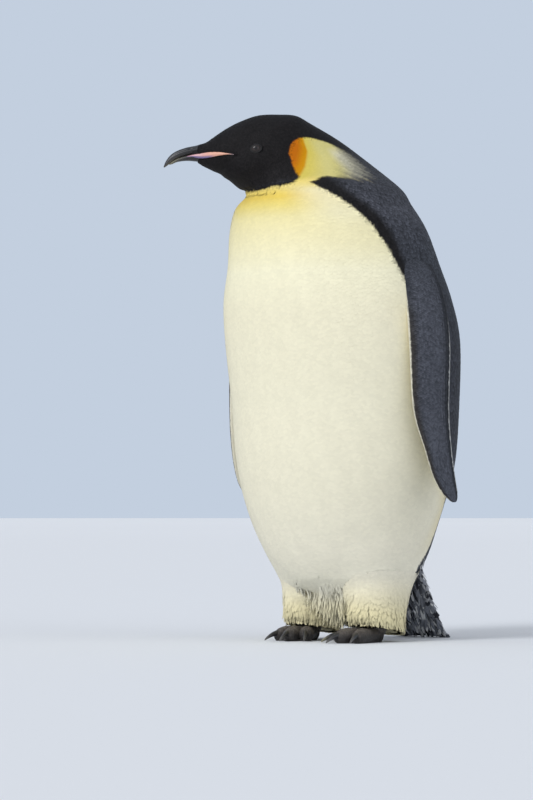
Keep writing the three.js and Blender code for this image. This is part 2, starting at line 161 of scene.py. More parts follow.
def signed_distance(points: Array, outline: Array) -> Array:
    """How far points lie inside a closed outline, negative outside.

    The distance to each side is that to the nearest point on it, and a point is inside where
    the outline winds round it, which the signs of the sides' crossings add up to.

    Args:
        points: places in the outline's plane, in rows of two.
        outline: its corners, in order.

    Returns:
        One distance for each point.
    """
    start, way = outline, np.roll(outline, -1, axis=0) - outline
    rel = points[:, None, :] - start[None]
    share = np.clip((rel * way).sum(-1) / (way**2).sum(-1), 0, 1)
    gap = np.linalg.norm(rel - share[..., None] * way, axis=-1).min(1)
    above = rel[..., 1] >= 0
    next_above = np.roll(above, -1, axis=1)
    turn = way[:, 0] * rel[..., 1] - way[:, 1] * rel[..., 0]
    winding = (above & ~next_above & (turn > 0)).sum(1) - (next_above & ~above & (turn < 0)).sum(1)
    return np.where(winding != 0, gap, -gap)


# ---- surfaces


class Surface:
    """A closed surface: a point in millimetres for each t from 0 to 1 along it and angle round it."""

    step = (2e-4, 2e-3)  # how far apart in t and angle a slope is felt
    outward = 1.0  # 1 where along x around points out of the surface, else -1

    def at(self, t: Array, angle: Array) -> Array:
        """The points at t and angle."""
        raise NotImplementedError

    def slopes(self, t: Array, angle: Array) -> tuple[Array, Array, Array, Array]:
        """The points, how they move with t and with angle, and the outward normal.

        Args:
            t: places along the surface.
            angle: angles round it, in radians.

        Returns:
            Points, change for one unit of t, change for one radian, and unit normals.
        """
        dt, da = self.step
        low, high = np.clip(t - dt, 0, 1), np.clip(t + dt, 0, 1)
        along = (self.at(high, angle) - self.at(low, angle)) / (high - low)[..., None]
        around = (self.at(t, angle + da) - self.at(t, angle - da)) / (2 * da)
        return self.at(t, angle), along, around, unit(np.cross(along, around)) * self.outward

    def sunk(self, t: Array, angle: Array, depth: Array) -> Array:
        """The points a depth below the surface."""
        points, _, _, normal = self.slopes(t, angle)
        return points - normal * np.asarray(depth)[..., None]

    def lie(self, t: Array, along: Array, normal: Array) -> Array:
        """The way that feathers point: along t."""
        return unit(along)


def swell(gap: Array, reach: float) -> Array:
    """How far a surface rises towards another near it, so that the two meet in a hollow curve."""
    return reach / 4 * np.clip(1 - np.abs(gap) / reach, 0, 1) ** 2


def outside(points: Array, x: Array, y: Array, width: Array, depth: Array) -> Array:
    """How far points lie outside a level oval, along the line from its middle at x, y."""
    right, back = points[..., 0] - x, points[..., 1] - y
    share = np.hypot(right / width, back / depth) + 1e-9
    return np.hypot(right, back) * (1 - 1 / share)


def facing(yaw: float | Array) -> tuple[Array, Array]:
    """The level directions ahead and to the left of something turned yaw degrees to its right."""
    turn = np.radians(yaw)
    zero = 0 * turn
    ahead = np.stack([-np.sin(turn), -np.cos(turn), zero], -1)
    left = np.stack([np.cos(turn), -np.sin(turn), zero], -1)
    return ahead, left


def placed(base: Array, ways: tuple[Array, Array], forward: Array, left: Array, height: Array) -> Array:
    """Points forward, to the left and up from a base, by the level ways ahead and to the left."""
    forward, left, height = np.broadcast_arrays(forward, left, height)
    return base + forward[..., None] * ways[0] + left[..., None] * ways[1] + height[..., None] * UP


@dataclass(frozen=True)
class Stance:
    """Where a leg stands, how far its foot turns to the bird's left, and which way is outward."""

    side: Side
    x: float
    y: float
    turn: float


STANCES = (Stance(Side.LEFT, 84, -20, -6), Stance(Side.RIGHT, -76, -16, 14))
MEETING = 34.0  # how near trunk and leg must be to rise towards each other
WRAP = 18.0  # how deep inside a leg the trunk's coat still follows the leg

# A leg's sections: height, how far out and back the middle is, half-width, half-depth, and how far
# the front is up.
LEG_SECTIONS = np.array([
    (226, 6, 24, 56, 84, 0), (190, 5, 22, 60, 90, 0), (150, 2, 20, 56, 86, 0), (110, 1, 17, 51, 74, 3),
    (66, 0, 10, 47, 64, 8), (38, 0, 9, 45, 58, 12), (24, 0, 13, 38, 48, 12),
], float)


def leg_oval(stance: Stance, height: Array) -> tuple[Array, ...]:
    """The middle, half-width and half-depth of a leg at a height."""
    rows = LEG_SECTIONS[::-1]
    out, back, width, depth = (np.interp(height, rows[:, 0], rows[:, k]) for k in range(1, 5))
    return stance.x + stance.side.value * out, stance.y + AXIS_Y + back, width, depth


@dataclass
class Body(Surface):
    """Trunk, neck and head as one loft, from the vent to the bill; angle 0 is the nape."""

    # Trunk sections: height, y of the middle, half-depth and half-width.
    trunk: Sequence[tuple[float, ...]] = (
        (50, 16, 14, 14), (56, 15, 40, 38), (82, 12, 84, 80), (122, 7, 121, 122),
        (169, 2, 149, 156), (240, -2, 177, 183), (330, 0, 198, 207), (445, -1, 204, 218),
        (555, -9, 209, 225), (628, -22, 206, 217), (694, -33, 194, 199),
    )
    # Neck sections: x, y, height, half-length level and upward, half-width and yaw.
    neck: Sequence[tuple[float, ...]] = (
        (-6, -42, 759, 178, 0, 187, 2), (-15, -44, 803, 163, 3, 166, 8), (-14, -48, 836, 140, 9, 136, 19),
        (-43, -97, 876, 101, 40, 87, 37), (-60, -141, 901.5, 75, 53, 63, 45),
    )
    # Head sections, in the head's own plane: forward of the pivot, height, the halves and half-width.
    head: Sequence[tuple[float, ...]] = (
        (42, 912, 66, 57, 54.5), (62, 916.5, 54, 55, 47.5), (87, 918.5, 42, 51.5, 42.5),
        (108.5, 915.5, 30.5, 43.5, 35.5), (125.5, 910.5, 21, 35, 27.5), (140, 905, 13, 25.5, 20),
        (150, 902, 8.5, 18.5, 15.5), (159, 903.5, 5, 12.8, 13.2), (167, 904.5, 2, 9.3, 11.6),
    )
    head_yaw: float = 48.0
    pivot: tuple[float, float] = (-40.0, -129.4)
    fold: tuple[float, float] = (113.0, 88.0)  # the heights between which the belly turns in under its fold
    fold_depth: float = 13.0
    throat: float = 6.0  # how far the crease under the chin is filled
    throat_place: float = 13.05
    throat_reach: float = 0.24  # how far along the body the filling goes, in places

    def __post_init__(self) -> None:
        """Puts all the sections in one table: x, y, height, reach, rise, width, yaw."""
        self.ahead, self.left = facing(self.head_yaw)
        rows = [(0, y, z, depth, 0, width, 0) for z, y, depth, width in self.trunk]
        rows += list(self.neck)
        for forward, height, reach, rise, width in self.head:
            x, y, _ = self.in_head(forward, height)
            rows.append((x, y - AXIS_Y, height, reach, rise, width, self.head_yaw))
        self.table = np.array(rows, float)
        self.table[:, 1] += AXIS_Y

    def in_head(self, forward: float | Array, height: float | Array, left: float | Array = 0.0) -> Array:
        """A place in the head's own plane: forward of the pivot, at a height, and out to the left."""
        base = np.array([self.pivot[0], self.pivot[1] + AXIS_Y, 0])
        return placed(base, (self.ahead, self.left), forward, left, height)

    def to_head(self, points: Array) -> Array:
        """Points as forward, height and left in the head's own plane."""
        rel = points - np.array([self.pivot[0], self.pivot[1] + AXIS_Y, 0])
        return np.stack([rel @ self.ahead, rel[..., 2], rel @ self.left], -1)

    def at(self, t: Array, angle: Array) -> Array:
        """An oval round each section's middle: reach and rise towards the nape, width to the left."""
        section = through(self.table, t * LAST_PLACE)
        ahead, left = facing(section[..., 6])
        back, out = np.cos(angle), np.sin(angle)
        points = section[..., :3] - ahead * (section[..., 3] * back)[..., None]
        points = points + left * (section[..., 5] * out)[..., None]
        points[..., 2] += section[..., 4] * back
        rise = self.risen(points, back, t * LAST_PLACE)[..., None]
        return points + rise * (left * out[..., None] - ahead * back[..., None])

    def risen(self, points: Array, back: Array, place: Array) -> Array:
        """How far the surface stands out of its ovals, at the throat and at the trunk's lower end.

        The crease under the chin is rounded out. Below, the surface rises towards each leg beside it
        and laps a little way over it, and in front it turns in under the fold of the belly.

        Args:
            points: points of the ovals.
            back: the cosine of their angle from the nape.
            place: their places along the body.

        Returns:
            One distance for each point.
        """
        height = points[..., 2]
        under = ease(*self.fold, height + 9 * ripple(points, 90, 9))
        rise = -self.fold_depth * under * ease(-0.45, -0.8, back)
        filled = np.exp(-(((place - self.throat_place) / self.throat_reach) ** 2))
        rise = rise + self.throat * filled * ease(-0.8, -0.97, back)
        for stance in STANCES:
            gap = outside(points, *leg_oval(stance, height))
            over = np.maximum(-gap, 0) * ease(-WRAP, -WRAP / 2, gap)
            rise = rise + (swell(gap, MEETING) + over) * ease(230, 170, height)
        return rise

    def lie(self, t: Array, along: Array, normal: Array) -> Array:
        """Down the trunk, and back and down from the bill over the head, in the surface itself."""
        place = t * LAST_PLACE
        back = (0.95 * ease(12.9, 15.5, place))[..., None]
        down = (1.0 - 0.75 * ease(13.2, 15.5, place))[..., None]
        way = np.array([0, 0, -1.0]) * down - self.ahead * back - unit(along) * 0.35
        return unit(way - normal * (way * normal).sum(-1)[..., None])


@dataclass
class Wing(Surface):
    """A wing from the shoulder to the tip; angle 0 is the leading edge and 90 degrees the outside."""

    side: Side = Side.LEFT
    inset: float = 0.0  # how far below the true surface this one lies
    # Sections: height; leading edge x, y; trailing edge x, y; half-thickness.
    table: Sequence[tuple[float, ...]] = (
        (728, 160, -46, 168, 14, 9), (690, 187, -58, 191, 30, 13), (632, 208, -62, 213, 40, 14),
        (549, 224, -70, 229, 38, 12.5), (426, 230, -67, 234, 29, 9.5), (353, 241, -49, 243, 25, 7),
        (302, 246, -30, 248, 29, 5.4), (274, 248, -8, 249.5, 34, 4.2), (260, 249, 12, 249.6, 32, 3),
        (256.5, 249.6, 20, 249.8, 27, 1.2),
    )
    left_ahead: float = 13.0  # the left wing hangs this far further forward
    blunt: float = 0.35  # how much thicker the leading edge is than the middle

    def __post_init__(self) -> None:
        """Readies the table, and which way round the surface turns."""
        self.rows = np.array(self.table, float)
        self.outward = 1.0 if self.side is Side.LEFT else -1.0

    def at(self, t: Array, angle: Array) -> Array:
        """A blunt oval along each section's chord."""
        row = through(self.rows, t * (len(self.rows) - 1))
        lead, trail = row[..., 1:3], row[..., 3:5]
        half = (lead - trail) / 2
        length = np.linalg.norm(half, axis=-1)
        out = np.stack([-half[..., 1], half[..., 0]], -1) / length[..., None]
        thin = np.minimum(self.inset, 0.4 * row[..., 5])
        along = np.cos(angle) * (1 - thin / length)
        thick = (row[..., 5] * (1 + self.blunt * np.cos(angle)) - thin) * np.sin(angle)
        flat = (lead + trail) / 2 + half * along[..., None] + out * thick[..., None]
        ahead = self.left_ahead if self.side is Side.LEFT else 0.0
        return np.stack([flat[..., 0] * self.side.value, flat[..., 1] + AXIS_Y - ahead, row[..., 0]], -1)


@dataclass
class Leg(Surface):
    """The feathered leg, an oval column that spreads up into the flank; angle 0 is +x."""

    stance: Stance = STANCES[0]
    trunk: Sequence[tuple[float, ...]] = ()  # the trunk's sections, as the body has them
    outward = 1.0

    def at(self, t: Array, angle: Array) -> Array:
        """A level oval whose front rises by the lean, and which rises towards the trunk beside it."""
        row = through(LEG_SECTIONS, t * (len(LEG_SECTIONS) - 1))
        x = self.stance.x + self.stance.side.value * row[..., 1] + np.cos(angle) * row[..., 3]
        y = self.stance.y + AXIS_Y + row[..., 2] + np.sin(angle) * row[..., 4]
        points = np.stack([x, y, row[..., 0] - row[..., 5] * np.sin(angle)], -1)
        height, middle, depth, width = np.array(self.trunk, float).T
        here = (np.interp(points[..., 2], height, column) for column in (middle + AXIS_Y, width, depth))
        rise = swell(outside(points, 0.0, *here), MEETING) * ease(40, 80, points[..., 2])
        way = np.stack([np.cos(angle), np.sin(angle), 0 * angle], -1)
        return points + way * rise[..., None]


@dataclass
class Tail(Surface):
    """The wedge of tail feathers; angle 0 is the left edge and 90 degrees the back."""

    # Sections: y, height, half-width and half-thickness.
    table: Sequence[tuple[float, ...]] = (
        (118, 196, 34, 14), (142, 165, 50, 19), (167, 112, 57, 15), (201, 50, 60, 10.5),
        (232, 6, 59, 7), (238, 3.4, 58, 4),
    )
    bow: float = 0.12  # how far its sides lie ahead of its middle, of its half-width
    back: tuple[float, float, float] = (0.0, 0.9, 0.45)  # the way its back faces
    outward = 1.0

    def at(self, t: Array, angle: Array) -> Array:
        """A bowed oval: width sideways and thickness along the way that the back faces."""
        row = through(np.array(self.table, float), t * (len(self.table) - 1))
        x = np.cos(angle) * row[..., 2]
        y = row[..., 0] + AXIS_Y - self.bow * row[..., 2] * np.cos(angle) ** 2
        middle = np.stack([x, y, row[..., 1]], -1)
        return middle + (np.sin(angle) * row[..., 3])[..., None] * np.array(self.back)


# ---- meshes


@dataclass
class Shape:
    """The points and faces of a piece, in millimetres, with numbers for each point."""

    points: Array
    quads: Array
    triangles: Array
    tint: Array | None = None
    marks: dict[str, Array] = field(default_factory=dict)
    maps: dict[str, Array] = field(default_factory=dict)
    normals: Array | None = None

    def turned_out(self) -> "Shape":
        """The same shape with its faces pointing outwards, by the sign of its volume."""
        halves = np.vstack([self.quads[:, [0, 1, 2]], self.quads[:, [0, 2, 3]], self.triangles])
        a, b, c = (self.points[halves[:, k]] for k in range(3))
        if (a * np.cross(b, c)).sum() < 0:
            self.quads = self.quads[:, ::-1]
            self.triangles = self.triangles[:, ::-1]
        return self

    def with_tint(self, tint: Array) -> "Shape":
        """The same shape, with a colour for each point or for all."""
        self.tint = np.broadcast_to(tint, self.points.shape).copy()
        return self


def loft(rows: Array) -> Shape:
    """A closed shape from rings of points, with a fan of triangles on each end.

    Args:
        rows: points as rings, sides and coordinates; each ring closes on itself.

    Returns:
        The shape, faces outwards: the ring points first, then the middle of each end.
    """
    rings, sides = rows.shape[:2]
    k, j = np.meshgrid(np.arange(rings - 1), np.arange(sides), indexing="ij")
    here, beside = k * sides + j, k * sides + (j + 1) % sides
    quads = np.stack([here, beside, beside + sides, here + sides], -1).reshape(-1, 4)
    points = np.vstack([rows.reshape(-1, 3), rows[[0, -1]].mean(1)])
    first = np.arange(sides)
    last = first + (rings - 1) * sides
    start = np.stack([np.roll(first, -1), first, np.full(sides, len(points) - 2)], -1)
    end = np.stack([last, np.roll(last, -1), np.full(sides, len(points) - 1)], -1)
    return Shape(points, quads, np.vstack([start, end])).turned_out()


def joined(shapes: Sequence[Shape]) -> Shape:
    """Several shapes as one, with their tints."""
    starts = np.cumsum([0] + [len(s.points) for s in shapes[:-1]])
    return Shape(
        np.vstack([s.points for s in shapes]),
        np.vstack([s.quads + start for s, start in zip(shapes, starts)]),
        np.vstack([s.triangles + start for s, start in zip(shapes, starts)]),
        tint=np.vstack([s.tint for s in shapes]),
        marks={name: np.concatenate([s.marks[name] for s in shapes]) for name in shapes[0].marks},
    )


def capped(values: Array) -> Array:
    """Numbers for every point of a loft: those of its rings, and for each end those of its first point."""
    return np.vstack([values, values[:1], values[-1:]])


def grid(t: Array, sides: int) -> tuple[Array, Array]:
    """The t and angle of every point of a loft with rings at t, as two arrays."""
    return np.meshgrid(t, np.arange(sides) * TURN / sides, indexing="ij")


def in_scene(name: str, data: bpy.types.ID) -> Piece:
    """A new object at the origin that shows a mesh, a lamp or a camera."""
    made = bpy.data.objects.new(name, data)
    bpy.context.scene.collection.objects.link(made)
    return made


def make_mesh(name: str, shape: Shape) -> Piece:
    """A Blender object at the origin from a shape, with smooth faces.

    Args:
        name: the object's name.
        shape: its points and faces, in millimetres.

    Returns:
        The object, in metres.
    """
    mesh = bpy.data.meshes.new(name)
    corners = np.concatenate([shape.quads.ravel(), shape.triangles.ravel()])
    sizes = np.concatenate([np.full(len(shape.quads), 4), np.full(len(shape.triangles), 3)])
    mesh.vertices.add(len(shape.points))
    mesh.vertices.foreach_set("co", (shape.points * MM).astype(np.float32).ravel())
    mesh.loops.add(len(corners))
    mesh.loops.foreach_set("vertex_index", corners.astype(np.int32))
    mesh.polygons.add(len(sizes))
    mesh.polygons.foreach_set("loop_start", (np.cumsum(sizes) - sizes).astype(np.int32))
    mesh.update(calc_edges=True)
    mesh.validate()
    mesh.shade_smooth()
    for key, values in shape.maps.items():
        layer = mesh.uv_layers.new(name=key)
        layer.data.foreach_set("uv", values[corners].astype(np.float32).ravel())
    if shape.tint is not None:
        layer = mesh.color_attributes.new("tint", "FLOAT_COLOR", "POINT")
        rgba = np.hstack([np.clip(shape.tint, 0, 1), np.ones((len(shape.tint), 1))])
        layer.data.foreach_set("color", rgba.astype(np.float32).ravel())
    for key, values in shape.marks.items():
        layer = mesh.attributes.new(key, "FLOAT", "POINT")
        layer.data.foreach_set("value", values.astype(np.float32))
    if shape.normals is not None:
        mesh.normals_split_custom_set_from_vertices(shape.normals.tolist())
    return in_scene(name, mesh)


def make_horn(name: str, rows: Array, t: Array, angle: Array, tint: Array) -> Piece:
    """A loft with its colours, and with a map along and round it for the lines in the horn.

    Args:
        name: the object's name.
        rows: its rings of points, in millimetres.
        t: the points' places along it.
        angle: their angles round it.
        tint: their colours, one row for each point.

    Returns:
        The object.
    """
    shape = loft(rows).with_tint(capped(tint))
    shape.maps["vane"] = capped(np.stack([t.ravel(), angle.ravel() / TURN], -1))
    return make_mesh(name, shape)


def put_in_place(
    made: Piece, finish: bpy.types.Material, nodes: Sequence[str] = ()
) -> None:
    """Dresses a piece, sets it on the body, and hides the CAD nodes that it replaces.

    Args:
        made: the piece.
        finish: its material.
        nodes: the CAD nodes that it replaces.
    """
    made.data.materials.clear()
    made.data.materials.append(finish)
    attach(made, BODY)
    if nodes:
        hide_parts(*nodes)
    log.info("%s: %d faces", made.name, len(made.data.polygons))


# ---- materials


@dataclass
class Finish:
    """A material made of nodes, built up from its surface shader."""

    name: str

    def __post_init__(self) -> None:
        """Starts the material with its shader and output."""
        self.material = bpy.data.materials.new(self.name)
        self.material.use_nodes = True
        self.tree = self.material.node_tree
        self.shader = self.tree.nodes["Principled BSDF"]

    def add(self, kind: str, settings: dict | None = None, **links: object) -> bpy.types.Node:
        """Adds a node, with its settings, and links or values for its inputs.

        Args:
            kind: the node's Blender type.
            settings: properties of the node itself.
            **links: an input's name, or i and its number, with a socket to link or a value to set.

        Returns:
            The node.
        """
        node = self.tree.nodes.new(kind)
        for key, value in (settings or {}).items():
            setattr(node, key, value)
        for key, value in links.items():
            numbered = key[0] == "i" and key[1:].isdigit()
            self.feed(node.inputs[int(key[1:]) if numbered else key.replace("_", " ")], value)
        return node

    def feed(self, socket: Socket, value: object) -> None:
        """Links a socket to another's output, or sets its value."""
        if isinstance(value, Socket):
            self.tree.links.new(value, socket)
        else:
            socket.default_value = value

    def tint(self) -> Socket:
        """The colour that the mesh's points carry."""
        return self.add("ShaderNodeVertexColor", {"layer_name": "tint"}).outputs["Color"]

    def mark(self, name: str) -> Socket:
        """A number that the mesh's points carry."""
        return self.add("ShaderNodeAttribute", {"attribute_name": name}).outputs["Fac"]

    def spot(self) -> Socket:
        """The place on the object, in metres."""
        return self.add("ShaderNodeTexCoord").outputs["Object"]

    def vane(self) -> Socket:
        """The place on a feather or along a horn, from 0 to 1."""
        return self.add("ShaderNodeUVMap", {"uv_map": "vane"}).outputs["UV"]

    def clouds(self, width: float, **settings: float) -> Socket:
        """Noise from 0 to 1 on the object, with clouds as wide as so many millimetres."""
        return self.add(
            "ShaderNodeTexNoise", Vector=self.spot(), Scale=1 / (width * MM), **settings
        ).outputs["Fac"]

    def math(self, operation: str, *values: object) -> Socket:
        """One sum with one or two values."""
        links = {f"i{k}": value for k, value in enumerate(values)}
        return self.add("ShaderNodeMath", {"operation": operation}, **links).outputs[0]

    def ranged(self, value: object, old: Sequence[float], new: Sequence[float]) -> Socket:
        """A value between two numbers as one between two others."""
        return self.add("ShaderNodeMapRange", i0=value, i1=old[0], i2=old[1], i3=new[0], i4=new[1]).outputs[0]

    def scaled(self, colour: Socket, level: Socket) -> Socket:
        """A colour made lighter or darker."""
        return self.add("ShaderNodeVectorMath", {"operation": "SCALE"}, i0=colour, Scale=level).outputs[0]

    def bumped(self, height: Socket, strength: float, depth: float) -> Socket:
        """The normal of a relief that is a depth in millimetres where the height is 1."""
        bump = self.add("ShaderNodeBump", Strength=strength, Distance=depth * MM, Height=height)
        return bump.outputs["Normal"]

    def surface(self, **values: object) -> bpy.types.Material:
        """Sets the shader's own sockets and gives the finished material."""
        for key, value in values.items():
            self.feed(self.shader.inputs[key.replace("_", " ")], value)
        return self.material


def colour_ramp(ramp: bpy.types.ColorRamp, stops: Sequence[tuple[float, Array]]) -> None:
    """Sets a ramp's stops: places from 0 to 1 with linear colours."""
    while len(ramp.elements) < len(stops):
        ramp.elements.new(0.5)
    for element, (place, colour) in zip(ramp.elements, stops):
        element.position = place
        element.color = (*colour, 1)


@dataclass(frozen=True)
class Plumage:
    """Contour feathers: dense, matt keratin barbs with a soft sheen, silky on white and satin on black."""

    roughness: float = 0.7
    sheen: float = 0.02
    barbs: float = 9.0  # barbs on each side of a vane; a real one has ten times as many, too fine to show
    relief: float = 0.05
    relief_depth: float = 0.2  # in millimetres

    def material(self, name: str) -> bpy.types.Material:
        """Colour from each feather's own tint, with barbs that slant out from the shaft."""
        finish = Finish(name)
        split = finish.add("ShaderNodeSeparateXYZ", Vector=finish.vane())
        from_shaft = finish.math("ABSOLUTE", finish.math("SUBTRACT", split.outputs["X"], 0.5))
        slant = finish.math("SUBTRACT", split.outputs["Y"], from_shaft)
        wave = finish.math("SINE", finish.math("MULTIPLY", slant, self.barbs * TURN))
        level = finish.ranged(wave, (-1.0, 1.0), (0.9, 1.0))
        return finish.surface(
            Base_Color=finish.scaled(finish.tint(), level), Roughness=self.roughness,
            Sheen_Weight=self.sheen, Sheen_Roughness=0.5, Specular_IOR_Level=0.14,
            Normal=finish.bumped(wave, self.relief, self.relief_depth),
        )


@dataclass(frozen=True)
class Hide:
    """The bird's skin: fine down under the coat, and leathery scales on the bare feet."""

    scale_width: float = 3.2  # width of a foot scale in millimetres
    down_width: float = 1.5  # width of a tuft of down in millimetres
    grime_width: float = 14.0  # width of a dirtier patch in millimetres

    def material(self, name: str) -> bpy.types.Material:
        """Colour from the tint, with painted shade in the hollows of the relief and painted highlight on its
        tops; scales where the bare mark is 1, down elsewhere.
        """
        finish = Finish(name)
        bare = finish.mark("bare")
        scales = finish.add(
            "ShaderNodeTexVoronoi", {"feature": "DISTANCE_TO_EDGE"},
            Vector=finish.spot(), Scale=1 / (self.scale_width * MM),
        )
        ridge = finish.ranged(scales.outputs["Distance"], (0.0, 0.16), (0.0, 1.0))
        down = finish.clouds(self.down_width, Detail=3.0)
        height = finish.add("ShaderNodeMix", {"data_type": "FLOAT"}, i0=bare, i2=down, i3=ridge).outputs[0]
        # painted shade and highlight: the hollows between foot scales and between tufts of down are darkened,
        # their tops lightened
        light = finish.ranged(height, (0.0, 1.0), (0.5, 1.15))
        patchy = finish.ranged(finish.clouds(self.grime_width, Detail=4.0), (0.3, 0.7), (0.75, 1.3))
        return finish.surface(
            Base_Color=finish.scaled(finish.tint(), finish.math("MULTIPLY", light, patchy)),
            Roughness=finish.ranged(bare, (0.0, 1.0), (0.8, 0.5)), Specular_IOR_Level=0.4,
            Normal=finish.bumped(height, strength=0.8, depth=0.9),
        )


@dataclass(frozen=True)
class Horn:
    """Keratin of bill, plates and claws: smooth and waxy, with growth lines and scuffs."""

    roughness: float = 0.4
    coat: float = 0.05
    line_scale: float = 1.4  # how close the growth lines are
    drawn_out: tuple[float, float, float] = (3, 40, 1)  # and how much closer round the horn than along it
    scuff_width: float = 5.0  # width of a scuff in millimetres
    scuffs: float = 0.25

    def material(self, name: str) -> bpy.types.Material:
        """Colour from the tint, clouded by scuffs that also dull the gloss."""
        finish = Finish(name)
        worn = finish.clouds(self.scuff_width, Detail=5.0, Roughness=0.65)
        drawn = finish.add(
            "ShaderNodeVectorMath", {"operation": "MULTIPLY"}, i0=finish.vane(), i1=self.drawn_out
        )
        lines = finish.add("ShaderNodeTexNoise", Vector=drawn.outputs[0], Scale=self.line_scale, Detail=2.0)
        level = finish.ranged(worn, (0.3, 0.75), (1 - self.scuffs, 1 + 2 * self.scuffs))
        rough = finish.ranged(worn, (0.3, 0.7), (self.roughness - 0.06, self.roughness + 0.14))
        return finish.surface(
            Base_Color=finish.scaled(finish.tint(), level), Roughness=rough, Coat_Weight=self.coat,
            Coat_Roughness=0.2, IOR=1.55,
            Normal=finish.bumped(lines.outputs["Fac"], strength=0.35, depth=0.25),
        )


@dataclass(frozen=True)
class GlassEye:
    """The eyeball under its film of tears: a dull dark-brown iris and a black pupil, softly glossy."""

    # The rings' colours, by the angle from the eye's axis, in quarter turns.
    rings: Sequence[tuple[float, str]] = (
        (0.0, "#161211"), (0.16, "#191413"), (0.21, "#2A2120"), (0.46, "#352A27"),
        (0.56, "#261E1C"), (0.7, "#211B19"),
    )
    fibre_width: float = 0.8  # width of the iris's fibres in millimetres

    def material(self, name: str) -> bpy.types.Material:
        """Rings by the ray mark, which holds the angle from the eye's axis, clouded by fibres."""
        finish = Finish(name)
        rings = finish.add("ShaderNodeValToRGB", Fac=finish.mark("ray"))
        colour_ramp(rings.color_ramp, [(place, linear(code)) for place, code in self.rings])
        level = finish.ranged(finish.clouds(self.fibre_width, Detail=4.0), (0.3, 0.7), (0.75, 1.2))
        return finish.surface(
            Base_Color=finish.scaled(rings.outputs["Color"], level), Roughness=0.32, IOR=1.38,
            Coat_Weight=0.2, Coat_Roughness=0.1,
        )


# ---- markings


